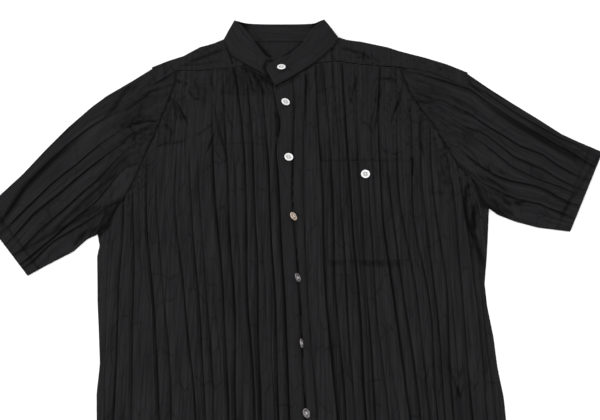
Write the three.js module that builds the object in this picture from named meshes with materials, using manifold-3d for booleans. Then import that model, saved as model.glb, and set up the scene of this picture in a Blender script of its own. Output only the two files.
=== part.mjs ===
// Band collar shirt with pressed pleats and short sleeves, laid flat on its back with the front up.
// Units are millimetres. +X points to the wearer's left arm, +Y from hem to neck, +Z up from the table.
// The sizes below are read in the shirt's own layout: Y = 0 crosses the chest just under the armholes.
import * as THREE from "three";
import { mergeVertices } from "three/addons/utils/BufferGeometryUtils.js";
import Module from "manifold-3d";

const wasm = await Module();
wasm.setup();

// Cloth thickness and clearances
const WALL = 1.4; // one layer of cloth with its pressed pleat
const GAP = 0.3; // clearance between two sewn pieces
const GROOVE = 0.7; // how far the back's pleats lift off the table
const STEP = 3.2; // width across which a pleat steps up to the next strip
const FRONT_FLOOR = WALL + GROOVE + GAP; // underside of the front where it lies lowest
const EDGE_FLOOR = WALL + GAP; // underside of the front at the side seams
const BAND_WALL = 1.5; // button band and buttonhole band
const COLLAR_WALL = 1.8; // collar band, two layers and interlining
const POCKET_WALL = 1.2;
const CUT_REACH = 60; // how far the prisms that cut outlines reach up and down

// Buttons
const BUTTON = { diameter: 12.7, thick: 2.2, hole: 1.9, spread: 3.4, rim: 0.5 };

// Stations up the body where the pleat tables give X
const LEVEL = { hem: -480, low: -277, waist: -131, chest: 0, bust: 93, yoke: 215 };
const LEVELS = ["hem", "low", "waist", "chest", "bust", "yoke"];
const ROWS = [-500, -277, -200, -131, -60, 0, 93, 146, 215, 262]; // Y of the grid rows

// A table's lists become objects whose keys are the column names.
const table = (columns, lists) =>
  lists.map((list) => Object.fromEntries(columns.map((name, i) => [name, list[i]])));

// Pleat lines of the wearer's right front, from the side seam to the buttons.
// fade is the Y above which the pleat dies out.
const PLEAT_COLUMNS = ["hem", "low", "waist", "chest", "bust", "yoke", "depth", "fade"];
const RIGHT_FRONT_PLEATS = table(PLEAT_COLUMNS, [
  [-240, -250, -259, -264, -268, -272, 1.2, 40],
  [-229, -236.5, -242, -246, -250, -256, 2.2, 60],
  [-209, -215, -223, -232, -238, -244, 1.6, 90],
  [-167, -179, -196.5, -213, -219, -226, 2.4, 130],
  [-152, -164, -181, -199, -204, -210, 1.7, 160],
  [-121, -134, -153, -173, -178, -190, 2.4, 300],
  [-109, -120, -135, -151, -160, -171, 1.6, 300],
  [-98, -109, -124, -139, -145, -151, 1.3, 120],
  [-83, -91, -102, -115, -124, -132, 2.3, 60],
  [-73, -82, -87, -98, -105, -114, 2.2, 300],
  [-50, -57, -68, -74.5, -79, -95, 2.0, 300],
  [-40, -49, -55, -62, -67, -77, 1.7, 300],
  [-18, -26, -33, -41, -45, -57, 1.4, 300],
]);

// Pleat lines of the wearer's left front, from the buttons to the side seam.
const LEFT_FRONT_PLEATS = table(PLEAT_COLUMNS, [
  [55, 46, 34, 31, 26.5, 22, 2.6, 300],
  [70, 60, 50, 46.5, 45, 36, 2.0, 300],
  [80, 71, 64, 59, 57, 51, 1.4, 300],
  [97, 85.5, 80, 73.5, 70, 64, 2.4, 300],
  [108, 97, 92, 87, 84, 81, 1.5, 300],
  [122, 113, 103, 99, 96, 94, 1.3, 20],
  [150, 139, 124.5, 113, 112, 117, 2.6, 300],
  [164, 155, 141, 129, 127, 130, 2.0, 60],
  [176, 166, 158, 143, 140, 144, 1.3, 300],
  [186, 176, 174, 159, 161, 166, 2.0, 300],
  [193, 186, 184, 174, 174, 180, 1.4, 140],
  [205, 197, 199, 190, 188, 194, 2.0, 160],
  [232, 222, 218, 218, 210, 208, 2.2, 100],
  [246, 238, 236, 229, 222, 218, 2.6, 70],
  [257, 248, 244, 240, 232, 226, 1.6, 60],
]);

// Side seams: X of the body's edge at Y
const RIGHT_SIDE = [[-254, -490], [-260, -290], [-263, -257], [-262, -217], [-268, -166],
  [-272, -134], [-278, -69], [-276, -53], [-280, -37]];
const LEFT_SIDE = [[272, -460], [263.5, -290], [263, -262], [258, -222], [256, -181],
  [251, -140], [250, -108], [255, -75], [259, -45], [264.5, 2]];

// Armhole seams from the armpit up to the yoke seam
const RIGHT_ARMHOLE = [[-280, -37], [-268, -27], [-261, -9], [-249, 14], [-236, 40],
  [-224, 78], [-212, 110], [-203, 139], [-193, 172], [-186, 197], [-183, 222]];
const LEFT_ARMHOLE = [[264.5, 2], [253, 13], [244, 46], [227, 64], [221, 76], [208, 103],
  [195, 129], [181, 152], [169, 171], [157, 197], [148.5, 228]];

// Front yoke seams from the neck to the yoke's tip on the shoulder
const RIGHT_YOKE_SEAM = [[-84, 231], [-110, 226], [-149, 223], [-183, 222], [-196, 214], [-218, 198]];
const LEFT_YOKE_SEAM = [[22, 235], [52, 239], [86, 234], [124, 230], [148.5, 228.5], [195, 220],
  [224, 206], [245, 193]];
const BACK_YOKE_SEAM = 172; // Y of the straight seam across the back

// Shoulder folds from the neck to the yoke's tip, then on along the sleeve to its hem
const RIGHT_SHOULDER = [[-118, 272], [-129, 268], [-151, 261], [-174, 246], [-198, 237], [-221, 226]];
const LEFT_SHOULDER = [[61, 276], [67, 274], [91, 271], [132, 261], [150, 254], [187, 243],
  [218, 232], [250, 217]];
const RIGHT_SLEEVE_TOP = [[-174, 246], [-198, 237], [-221, 226], [-248, 206], [-285, 180], [-305, 162],
  [-336, 129], [-365, 93], [-394, 54], [-423, 21], [-446, -6]];
const LEFT_SLEEVE_TOP = [[150, 254], [187, 243], [218, 232], [250, 217], [279, 193], [313, 167],
  [347, 142], [378, 118], [398, 107], [434, 89]];
const RIGHT_UNDERARM = [[-280, -37], [-295, -45], [-311, -62], [-349, -84], [-370, -97]];
const LEFT_UNDERARM = [[264.5, 2], [276, -8], [299, -18], [330, -27], [374, -33]];

// Sleeve pleats: where they meet the armhole and the hem, from 0 at the fold to 1 at the underarm
const SLEEVE_COLUMNS = ["armhole", "hem", "depth"];
const RIGHT_SLEEVE_PLEATS = table(SLEEVE_COLUMNS, [
  [0.16, 0.1, 1.3],
  [0.3, 0.24, 2.2],
  [0.42, 0.36, 1.6],
  [0.52, 0.5, 2.2],
  [0.62, 0.61, 1.6],
  [0.72, 0.74, 2.0],
  [0.86, 0.88, 1.4],
]);
const LEFT_SLEEVE_PLEATS = table(SLEEVE_COLUMNS, [
  [0.14, 0.17, 2.2],
  [0.27, 0.33, 2.0],
  [0.38, 0.48, 1.5],
  [0.5, 0.6, 2.2],
  [0.64, 0.72, 1.5],
  [0.78, 0.84, 1.4],
]);
const SLEEVE_BACK_PLEATS = [0.12, 0.27, 0.42, 0.57, 0.72, 0.87];

// Back pleats, evenly pressed
const BACK_PLEATS = 24;

// Edges of the buttonhole band and the crease that runs down through its buttonholes
const BAND = table(["y", "left", "crease", "right"], [
  [-500, -2, 21, 34.5],
  [-376, -8, 14, 26.5],
  [-280, -12.5, 8, 20.6],
  [-200, -16, 4, 14.5],
  [-130, -19, 0.7, 9.5],
  [-60, -24, -4, 6.5],
  [0, -29, -9, 4.5],
  [60, -34, -9, 3.4],
  [120, -31, -8, 5],
  [165, -36, -12, 6.4],
  [215, -43, -16, 7.2],
]);

// Buttons down the front: place on the band and how far each one tips over in the crease
const FRONT_BUTTONS = table(["x", "y", "tip"], [
  [-21, 166.5, 0],
  [-16, 78, 0],
  [-9, -14, 32],
  [-3, -103, 45],
  [2, -193, 55],
  [8, -283, 36],
  [14, -373, 20],
]);
const COLLAR_BUTTON = { x: -27.5, y: 222.5 };
const POCKET_BUTTON = { x: 92.5, y: 51.5 };
const POCKET = [[37, -76], [149, -77], [159, 75], [27, 72]]; // corners, bottom first

// Collar band from its under end at the front, round the back of the neck, to its over end:
// the neck seam and the free edge
const COLLAR = table(["seamX", "seamY", "seamZ", "edgeX", "edgeY", "edgeZ"], [
  [-6, 215, 5.2, -21, 240, 6],
  [-20, 206.5, 5.2, -31, 237, 6.2],
  [-34, 203, 5.2, -41, 239, 6.6],
  [-48, 210, 5.2, -52, 246, 7.4],
  [-62.4, 220.6, 5.2, -60, 257, 9],
  [-82, 232.4, 5.6, -68, 267, 11.5],
  [-101, 245.3, 7, -77, 279, 14.5],
  [-110, 259, 8.5, -87, 291, 18.5],
  [-114.5, 272.5, 8.6, -98, 298, 21],
  [-108, 275.5, 3.8, -94, 302, 13.5],
  [-92, 274.4, 1.9, -82, 303, 6.5],
  [-66, 273.8, 1.6, -62, 303, 4],
  [-28, 273.6, 1.6, -29, 303, 3.4],
  [10, 273.8, 1.6, 5, 303, 4],
  [34, 274.4, 1.9, 22, 303, 6.5],
  [50, 276, 3.8, 31, 303, 13.5],
  [58, 275.5, 8.6, 36, 299.4, 21],
  [53, 264, 8.2, 24, 292, 19],
  [43, 254, 7.8, 13, 280, 16],
  [31, 242.5, 7.6, 5, 266, 13],
  [18, 231, 7.5, -5, 256, 11],
  [0, 218, 7.5, -16, 247, 10],
  [-17.7, 205.8, 7.5, -30, 235.4, 9.4],
  [-33.8, 194.2, 7.5, -46, 226.5, 9.2],
]);
const COLLAR_STATIONS = 38;
const COLLAR_ROLL = 0.4; // how far the band rolls outwards at half its height, in half walls
const COLLAR_TOP = 9.8; // height of the band's over end where its button lies

// Numbers and curves
const mix = (a, b, t) => a + (b - a) * t;
const clamp01 = (t) => Math.min(1, Math.max(0, t));
const smooth = (t) => clamp01(t) ** 2 * (3 - 2 * clamp01(t));

// Value at y of a list of [y, value] pairs in rising y, along a smooth curve through them
function through(pairs, y) {
  const last = pairs.length - 2;
  let i = 0;
  while (i < last && y > pairs[i + 1][0]) i++;
  const [y0, v0] = pairs[i];
  const [y1, v1] = pairs[i + 1];
  const slope = (v1 - v0) / (y1 - y0);
  if (y <= y0 || y >= y1) return v0 + slope * (y - y0);
  const before = i > 0 ? (v1 - pairs[i - 1][1]) / (y1 - pairs[i - 1][0]) : slope;
  const after = i < last ? (pairs[i + 2][1] - v0) / (pairs[i + 2][0] - y0) : slope;
  const t = (y - y0) / (y1 - y0);
  const span = y1 - y0;
  return (
    v0 * (1 + 2 * t) * (1 - t) ** 2 +
    before * span * t * (1 - t) ** 2 +
    v1 * t * t * (3 - 2 * t) +
    after * span * t * t * (t - 1)
  );
}

// A path through plan points, for sampling by its length
function polyline(points) {
  const path = new THREE.CurvePath();
  for (let i = 1; i < points.length; i++) {
    path.add(new THREE.LineCurve(new THREE.Vector2(...points[i - 1]), new THREE.Vector2(...points[i])));
  }
  return path;
}

const flip = (pairs) => pairs.map(([x, y]) => [y, x]);
const sideX = (side, y) => through(flip(side), y);
const bandX = (column, y) => through(BAND.map((row) => [row.y, row[column]]), y);
const pleatX = (line, y) => through(LEVELS.map((name) => [LEVEL[name], line[name]]), y);
const hemY = (x) => mix(-490, -460, (x + 254) / 526);

// Solids
function toSolid(geometry) {
  const plain = geometry.clone();
  plain.deleteAttribute("normal");
  plain.deleteAttribute("uv");
  const merged = mergeVertices(plain, 1e-4);
  return new wasm.Manifold(
    new wasm.Mesh({
      numProp: 3,
      vertProperties: new Float32Array(merged.getAttribute("position").array),
      triVerts: new Uint32Array(merged.index.array),
    }),
  );
}

function toGeometry(solid) {
  const { numProp, vertProperties, triVerts } = solid.getMesh();
  const places = new Float32Array((vertProperties.length / numProp) * 3);
  for (let i = 0; i < places.length / 3; i++) {
    places.set(vertProperties.subarray(i * numProp, i * numProp + 3), i * 3);
  }
  const geometry = new THREE.BufferGeometry();
  geometry.setAttribute("position", new THREE.BufferAttribute(places, 3));
  geometry.setIndex(new THREE.BufferAttribute(triVerts, 1));
  geometry.computeVertexNormals();
  return geometry;
}

// The largest body of a solid, without the slivers that a cut can leave
const largest = (solid) => solid.decompose().sort((a, b) => b.volume() - a.volume())[0];

function indexed(places, faces) {
  const geometry = new THREE.BufferGeometry();
  geometry.setAttribute("position", new THREE.Float32BufferAttribute(places.flat(), 3));
  geometry.setIndex(faces.flat());
  return geometry;
}

// Upright prism over a plan outline
function prism(outline, low = -CUT_REACH, high = CUT_REACH) {
  const shape = new THREE.Shape(outline.map(([x, y]) => new THREE.Vector2(x, y)));
  const geometry = new THREE.ExtrudeGeometry(shape, { depth: high - low, bevelEnabled: false });
  return toSolid(geometry.translate(0, 0, low));
}

// Plan outline moved outwards by a distance, corner by corner
function grow(outline, distance) {
  const turn = Math.sign(THREE.ShapeUtils.area(outline.map(([x, y]) => ({ x, y }))));
  const count = outline.length;
  return outline.map(([x, y], i) => {
    const [px, py] = outline[(i + count - 1) % count];
    const [nx, ny] = outline[(i + 1) % count];
    const first = new THREE.Vector2(y - py, px - x).normalize();
    const second = new THREE.Vector2(ny - y, x - nx).normalize();
    const middle = first.clone().add(second).normalize();
    const reach = (turn * distance) / Math.max(0.5, middle.dot(first));
    return [x + middle.x * reach, y + middle.y * reach];
  });
}

// Closed slab over a grid of plan points. low and high hold each point's two heights.
function slab(grid) {
  const rows = grid.length;
  const columns = grid[0].length;
  const places = [];
  for (const key of ["high", "low"]) {
    for (const row of grid) for (const p of row) places.push([p.x, p.y, p[key]]);
  }
  const top = (i, j) => i * columns + j;
  const under = (i, j) => rows * columns + i * columns + j;
  const faces = [];
  const quad = (a, b, c, d) => faces.push([a, b, c], [a, c, d]);
  for (let i = 0; i + 1 < rows; i++) {
    for (let j = 0; j + 1 < columns; j++) {
      quad(top(i, j), top(i, j + 1), top(i + 1, j + 1), top(i + 1, j));
      quad(under(i, j), under(i + 1, j), under(i + 1, j + 1), under(i, j + 1));
    }
    quad(top(i + 1, 0), under(i + 1, 0), under(i, 0), top(i, 0));
    quad(top(i, columns - 1), under(i, columns - 1), under(i + 1, columns - 1), top(i + 1, columns - 1));
  }
  for (let j = 0; j + 1 < columns; j++) {
    quad(top(0, j), under(0, j), under(0, j + 1), top(0, j + 1));
    quad(top(rows - 1, j + 1), under(rows - 1, j + 1), under(rows - 1, j), top(rows - 1, j));
  }
  return indexed(places, faces);
}

// Loft through equal closed sections with flat ends
function loft(sections) {
  const count = sections[0].length;
  const faces = [];
  for (let i = 0; i + 1 < sections.length; i++) {
    for (let j = 0; j < count; j++) {
      const a = i * count + j;
      const b = i * count + ((j + 1) % count);
      faces.push([a, b, b + count], [a, b + count, a + count]);
    }
  }
  const last = (sections.length - 1) * count;
  for (let j = 1; j + 1 < count; j++) {
    faces.push([0, j + 1, j], [last, last + j, last + j + 1]);
  }
  return indexed(sections.flat(), faces);
}

// Tube of cloth from matching outer and inner rings, open at both ends
function tube(outer, inner) {
  const count = outer[0].length;
  const stations = outer.length;
  const places = [...outer.flat(), ...inner.flat()];
  const at = (side, i, j) => side * stations * count + i * count + (j % count);
  const faces = [];
  const quad = (a, b, c, d) => faces.push([a, b, c], [a, c, d]);
  for (let i = 0; i + 1 < stations; i++) {
    for (let j = 0; j < count; j++) {
      quad(at(0, i, j), at(0, i, j + 1), at(0, i + 1, j + 1), at(0, i + 1, j));
      quad(at(1, i, j), at(1, i + 1, j), at(1, i + 1, j + 1), at(1, i, j + 1));
    }
  }
  for (let j = 0; j < count; j++) {
    quad(at(0, 0, j + 1), at(0, 0, j), at(1, 0, j), at(1, 0, j + 1));
    const end = stations - 1;
    quad(at(0, end, j), at(0, end, j + 1), at(1, end, j + 1), at(1, end, j));
  }
  return indexed(places, faces);
}

// A geometry turned so that its faces point out
function outward(geometry) {
  if (toSolid(geometry).volume() > 0) return geometry;
  const index = geometry.getIndex();
  for (let i = 0; i < index.count; i += 3) {
    const first = index.getX(i);
    index.setX(i, index.getX(i + 1));
    index.setX(i + 1, first);
  }
  return geometry;
}

// Fronts

// Near a side seam, the front's edge or the neck the cloth lies flat: 0 there, 1 further in
function calm(x, y) {
  const fromRight = (x - sideX(RIGHT_SIDE, Math.min(y, -37))) / 26;
  const fromLeft = (sideX(LEFT_SIDE, Math.min(y, 2)) - x) / 26;
  return smooth(Math.min(y < -37 ? fromRight : 1, y < 2 ? fromLeft : 1));
}

// Grid of one front: two columns at each pleat's step and one on its strip
function frontGrid(pleats, leftEdge, rightEdge) {
  return ROWS.map((y) => {
    const lines = pleats.map((line) => pleatX(line, y));
    const row = [{ x: leftEdge(y), lift: 0 }];
    lines.forEach((x, i) => {
      const next = i + 1 < lines.length ? lines[i + 1] : rightEdge(y);
      const fade = smooth((pleats[i].fade + 60 - y) / 90);
      const lift = pleats[i].depth * mix(0.25, 1, fade) * (y > 180 ? 0.6 : 1);
      row.push({ x: x - STEP / 2, lift: 0 });
      row.push({ x: x + STEP / 2, lift });
      row.push({ x: mix(x + STEP / 2, next - STEP / 2, 0.5), lift: lift * 0.72 });
    });
    row.push({ x: rightEdge(y), lift: 0 });
    for (let j = 1; j < row.length; j++) row[j].x = Math.max(row[j].x, row[j - 1].x + 0.8);
    return row.map(({ x, lift }) => {
      const free = calm(x, y);
      const toBand = Math.min(Math.abs(x - bandX("left", y)), Math.abs(x - bandX("right", y)));
      const edge = smooth((toBand - 4) / 12);
      const low = mix(EDGE_FLOOR, FRONT_FLOOR, free) + lift * mix(0.2, 1, free) * edge;
      return { x, y, low, high: low + WALL };
    });
  });
}

const rightGrid = frontGrid(
  RIGHT_FRONT_PLEATS,
  (y) => -300,
  (y) => bandX("left", y) + 4,
);
const leftGrid = frontGrid(
  LEFT_FRONT_PLEATS,
  (y) => bandX("right", y) - 2,
  (y) => 290,
);

const bandSide = (column, shift, top) => {
  const side = BAND.filter((row) => row.y > -470 && row.y < top).map((row) => [row[column] + shift, row.y]);
  const hemX = bandX(column, -475) + shift;
  return [[hemX, hemY(hemX)], ...side];
};

const rightOutline = [
  ...RIGHT_SIDE,
  ...RIGHT_ARMHOLE.slice(1, -1),
  [-183, 222 - GAP],
  [-149, 223 - GAP],
  [-110, 226 - GAP],
  [-84, 231 - GAP],
  [-62.8, 219.6],
  [-48.5, 209],
  [-40, 202],
  ...bandSide("left", 2, 200).reverse(),
];
const leftOutline = [
  ...bandSide("right", GAP, 200),
  [7 + GAP, 222],
  [17.5, 229.5],
  [22.6, 234.4],
  [52, 239 - GAP],
  [86, 234 - GAP],
  [124, 230 - GAP],
  [148.5, 228.5 - GAP],
  ...LEFT_ARMHOLE.slice(0, -1).reverse(),
  ...LEFT_SIDE.toReversed().slice(1),
];

const frontRight = largest(toSolid(slab(rightGrid)).intersect(prism(rightOutline)));
const frontLeft = largest(toSolid(slab(leftGrid)).intersect(prism(leftOutline)));

// Pocket: the front's own grid moved out by the gap, cut to the pocket's outline
const pocketGrid = leftGrid.map((row) =>
  row.map(({ x, y, high }) => ({ x, y, low: high + GAP, high: high + GAP + POCKET_WALL })),
);
const pocket = largest(toSolid(slab(pocketGrid)).intersect(prism(POCKET)));

// Height of a grid's upper face at a plan point
function heightAt(grid, x, y) {
  let i = 0;
  while (i < grid.length - 2 && y > grid[i + 1][0].y) i++;
  const t = (y - grid[i][0].y) / (grid[i + 1][0].y - grid[i][0].y);
  const row = grid[i].map((p, j) => ({
    x: mix(p.x, grid[i + 1][j].x, t),
    high: mix(p.high, grid[i + 1][j].high, t),
  }));
  let j = 0;
  while (j < row.length - 2 && x > row[j + 1].x) j++;
  return mix(row[j].high, row[j + 1].high, clamp01((x - row[j].x) / (row[j + 1].x - row[j].x)));
}

// Bands down the front: the button band lies under the buttonhole band
const BAND_ROWS = BAND.map((row) => row.y);
const buttonBandGrid = BAND_ROWS.map((y) =>
  [bandX("left", y) + 2 + GAP, bandX("crease", y), bandX("right", y) - 1].map((x) => ({
    x,
    y,
    low: FRONT_FLOOR,
    high: FRONT_FLOOR + WALL,
  })),
);
const BAND_FLOOR = FRONT_FLOOR + WALL + GAP; // underside of the buttonhole band
const CREASE_STEP = 1.1; // how far the crease steps up
const buttonholeGrid = BAND_ROWS.map((y) => {
  const left = bandX("left", y);
  const crease = bandX("crease", y);
  const right = bandX("right", y);
  const strength = smooth((150 - y) / 90);
  return [
    [left, 0.1],
    [mix(left, crease, 0.35), 0.5],
    [crease - 1.6, 0],
    [crease + 1.6, CREASE_STEP * strength],
    [mix(crease, right, 0.6), 0.6 * strength + 0.3],
    [right, 0],
  ].map(([x, lift]) => {
    const low = BAND_FLOOR + lift;
    return { x, y, low, high: low + BAND_WALL };
  });
});
const bandTop = [[7.2, 222], [0, 216.6], [-17.7, 204.6], [-33.8, 193], [-41, 189]];
const bandOutline = [
  ...bandSide("right", 0, 200),
  ...bandTop,
  ...bandSide("left", 0, 180).reverse(),
];
const underBandOutline = [
  ...bandSide("right", -1, 200),
  [6, 217.5],
  [-4, 208.5],
  [-20, 200.8],
  [-33, 199.5],
  ...bandSide("left", 2 + GAP, 190).reverse(),
];
const buttonholeBand = largest(toSolid(slab(buttonholeGrid)).intersect(prism(bandOutline)));
const buttonBand = largest(toSolid(slab(buttonBandGrid)).intersect(prism(underBandOutline)));

// Back: one panel whose pleats lift off the table in narrow grooves
function backGrid() {
  const rows = [-500, -290, -130, 10, 110, BACK_YOKE_SEAM + 8];
  return rows.map((y) => {
    const left = sideX(RIGHT_SIDE, Math.min(y, -37)) - 30;
    const right = sideX(LEFT_SIDE, Math.min(y, 2)) + 30;
    const row = [{ x: left, lift: 0 }];
    for (let i = 0; i < BACK_PLEATS; i++) {
      const x = mix(left, right, (i + 1.2) / (BACK_PLEATS + 1.4));
      const lift = GROOVE * calm(x, y) ** 3;
      row.push({ x: x - 2.6, lift: 0 }, { x, lift }, { x: x + 2.6, lift: 0 });
    }
    row.push({ x: right, lift: 0 });
    return row.map(({ x, lift }) => ({ x, y, low: lift, high: lift + WALL }));
  });
}
const backOutline = [
  ...RIGHT_SIDE,
  ...RIGHT_ARMHOLE.slice(1, 8),
  [-193, BACK_YOKE_SEAM - GAP],
  [168, BACK_YOKE_SEAM - GAP],
  ...LEFT_ARMHOLE.slice(0, 8).reverse(),
  ...LEFT_SIDE.toReversed().slice(1),
];
const back = largest(toSolid(slab(backGrid())).intersect(prism(backOutline)));

// Yoke: one layer under the neck and shoulders that folds over each shoulder to the front
const NECK_BACK = 273.2; // Y of the back neck seam
const yokeStripRight = [...RIGHT_SHOULDER.toReversed(), [-111.5, 259], [-102.5, 245.3], [-84.8, 232],
  ...RIGHT_YOKE_SEAM.slice(1)];
const yokeStripLeft = [...LEFT_SHOULDER.toReversed(), [56, 266], [45, 254], [33, 242], [23.5, 235.4],
  ...LEFT_YOKE_SEAM.slice(1)];
const yokeUnder = [
  ...RIGHT_SHOULDER.toReversed(),
  [-106, NECK_BACK],
  [50, NECK_BACK],
  ...LEFT_SHOULDER,
  ...LEFT_YOKE_SEAM.slice(4).reverse(),
  [157, 197],
  [168, BACK_YOKE_SEAM],
  [-193, BACK_YOKE_SEAM],
  [-186, 197],
  ...RIGHT_YOKE_SEAM.slice(3),
];
const FOLD_REACH = 1.6; // how far the rounded fold stands out past the shoulder line

// Direction in the plan that points away from the shirt, square to a shoulder line at its point i
function awayFrom(shoulder, i) {
  const [ax, ay] = shoulder[Math.max(0, i - 1)];
  const [bx, by] = shoulder[Math.min(shoulder.length - 1, i + 1)];
  const out = new THREE.Vector2(ay - by, bx - ax).normalize();
  return out.y < 0 ? out.negate() : out;
}

// The rounded fold along a shoulder: a half ring joining the lower layer to the upper one
function shoulderFold(shoulder) {
  const top = FRONT_FLOOR + WALL;
  const sections = shoulder.map(([x, y], i) => {
    const out = awayFrom(shoulder, i);
    const at = (reach, z) => [x + out.x * reach, y + out.y * reach, z];
    return [
      at(-2.5, 0), at(0, 0), at(FOLD_REACH, 1), at(FOLD_REACH, top - 1), at(0, top), at(-2.5, top),
      at(-2.5, top - WALL), at(-0.6, top - WALL), at(-0.6, WALL), at(-2.5, WALL),
    ];
  });
  return sections;
}

// Section of the fold is not convex, so its ends are closed by two halves and a bridge
function foldSolid(shoulder) {
  const sections = shoulderFold(shoulder);
  const count = sections[0].length;
  const faces = [];
  for (let i = 0; i + 1 < sections.length; i++) {
    for (let j = 0; j < count; j++) {
      const a = i * count + j;
      const b = i * count + ((j + 1) % count);
      faces.push([a, b, b + count], [a, b + count, a + count]);
    }
  }
  const end = [[0, 1, 9], [1, 8, 9], [1, 2, 8], [2, 3, 8], [3, 7, 8], [3, 4, 7], [4, 5, 7], [5, 6, 7]];
  const last = (sections.length - 1) * count;
  for (const [a, b, c] of end) {
    faces.push([a, c, b], [last + a, last + b, last + c]);
  }
  return toSolid(outward(indexed(sections.flat(), faces)));
}

const yokeTop = [FRONT_FLOOR, FRONT_FLOOR + WALL];
const yoke = largest(
  prism(yokeUnder, 0, WALL)
    .add(prism(yokeStripRight, ...yokeTop))
    .add(prism(yokeStripLeft, ...yokeTop))
    .add(foldSolid(RIGHT_SHOULDER))
    .add(foldSolid(LEFT_SHOULDER)),
);

// Sleeves: a flattened tube between the armhole, the shoulder fold, the underarm and the hem
const SLEEVE_STATIONS = 7;
const INTO_ARMHOLE = 6; // how far the tube runs into the body's place before it is cut back

function sleeveSolid(pleats, armhole, fold, underarm, bodyOutline, tipOutline) {
  const top = polyline(fold);
  const bottom = polyline(underarm);
  const root = polyline([fold[0], ...armhole.toReversed().slice(1)]);
  const [hemTop, hemBottom] = [fold.at(-1), underarm.at(-1)];
  const inward = -Math.sign(hemTop[0]) * INTO_ARMHOLE;
  // Plan point: t from the fold to the underarm, v from the armhole to the hem
  const plan = (t, v) => {
    const a = root.getPoint(t);
    const s = top.getPoint(v);
    const u = bottom.getPoint(v);
    const corner = (x0, x1, x2, x3) => (1 - t) * (1 - v) * x0 + t * (1 - v) * x1 + (1 - t) * v * x2 + t * v * x3;
    const value = (axis, k) =>
      (1 - v) * a[axis] + v * mix(hemTop[k], hemBottom[k], t) + (1 - t) * s[axis] + t * u[axis] -
      corner(fold[0][k], underarm[0][k], hemTop[k], hemBottom[k]);
    return [value("x", 0) + inward * (1 - v) ** 8, value("y", 1)];
  };
  const outer = [];
  const inner = [];
  for (let i = 0; i < SLEEVE_STATIONS; i++) {
    const v = i / (SLEEVE_STATIONS - 1);
    const width = Math.hypot(plan(0, v)[0] - plan(1, v)[0], plan(0, v)[1] - plan(1, v)[1]);
    const half = STEP / 2 / width;
    const upper = [[0, 0]];
    pleats.forEach((pleat, k) => {
      const t = mix(pleat.armhole, pleat.hem, v);
      const next = k + 1 < pleats.length ? mix(pleats[k + 1].armhole, pleats[k + 1].hem, v) : 1;
      upper.push([t - half, 0], [t + half, pleat.depth], [mix(t, next, 0.5), pleat.depth * 0.7]);
    });
    upper.push([1, 0]);
    const lower = [[1, 0]];
    for (const t of SLEEVE_BACK_PLEATS.toReversed()) {
      lower.push([t + half, 0], [t, GROOVE], [t - half, 0]);
    }
    lower.push([0, 0]);
    const ring = (list, lift) => list.map(([t, z]) => [...plan(t, v), z + lift]);
    const inset = WALL / width;
    const tucked = (list) => list.map(([t, z]) => [Math.min(1 - inset, Math.max(inset, t)), z]);
    outer.push([...ring(upper, FRONT_FLOOR + WALL), ...ring(lower, 0)]);
    inner.push([...ring(tucked(upper), FRONT_FLOOR), ...ring(tucked(lower), WALL)]);
  }
  const body = toSolid(outward(tube(outer, inner)));
  return largest(body.subtract(prism(grow(bodyOutline, GAP))).subtract(prism(grow(tipOutline, 1.5 * GAP))));
}

// The body and the yoke as the sleeves meet them
const bodyAll = [
  ...RIGHT_SIDE,
  ...RIGHT_ARMHOLE.slice(1),
  [-84, 231],
  [22, 235],
  ...LEFT_ARMHOLE.toReversed(),
  ...LEFT_SIDE.toReversed().slice(1),
];
const CLEAR_OF_FOLD = 8;
const foldedOut = (shoulder) =>
  shoulder.map(([x, y], i) => {
    const out = awayFrom(shoulder, i);
    return [x + out.x * CLEAR_OF_FOLD, y + out.y * CLEAR_OF_FOLD];
  });
const tipRight = [...foldedOut(RIGHT_SHOULDER.toReversed()), [-100, 240], ...RIGHT_YOKE_SEAM.slice(1)];
const tipLeft = [...foldedOut(LEFT_SHOULDER.toReversed()), [40, 246], ...LEFT_YOKE_SEAM.slice(1)];
const sleeveRight = sleeveSolid(
  RIGHT_SLEEVE_PLEATS, RIGHT_ARMHOLE, RIGHT_SLEEVE_TOP, RIGHT_UNDERARM, bodyAll, tipRight,
);
const sleeveLeft = sleeveSolid(
  LEFT_SLEEVE_PLEATS, LEFT_ARMHOLE, LEFT_SLEEVE_TOP, LEFT_UNDERARM, bodyAll, tipLeft,
);

// Collar band: one strip of two plies swept round the neck
function collarSolid() {
  const seam = new THREE.CatmullRomCurve3(
    COLLAR.map((row) => new THREE.Vector3(row.seamX, row.seamY, row.seamZ)), false, "centripetal",
  );
  const edge = new THREE.CatmullRomCurve3(
    COLLAR.map((row) => new THREE.Vector3(row.edgeX, row.edgeY, row.edgeZ)), false, "centripetal",
  );
  const sections = [];
  for (let i = 0; i <= COLLAR_STATIONS; i++) {
    const t = i / COLLAR_STATIONS;
    const low = seam.getPoint(t);
    const high = edge.getPoint(t);
    const along = seam.getTangent(t).add(edge.getTangent(t)).normalize();
    const up = high.clone().sub(low).normalize();
    const face = new THREE.Vector3().crossVectors(along, up).normalize().multiplyScalar(COLLAR_WALL / 2);
    const point = (share, side) => low.clone().lerp(high, share).addScaledVector(face, side).toArray();
    sections.push([
      point(0, 1), point(0.5, 1 + COLLAR_ROLL), point(0.96, 1), point(1, 0.3),
      point(1, -0.3), point(0.96, -1), point(0.5, -1 + COLLAR_ROLL), point(0, -1),
    ]);
  }
  return largest(toSolid(outward(loft(sections))));
}
const collar = collarSolid();

// Points evenly round a circle
function round(count, radius, x = 0, y = 0) {
  return Array.from({ length: count }, (_, i) => {
    const angle = (i / count) * 2 * Math.PI;
    return new THREE.Vector2(x + radius * Math.cos(angle), y + radius * Math.sin(angle));
  });
}

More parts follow.
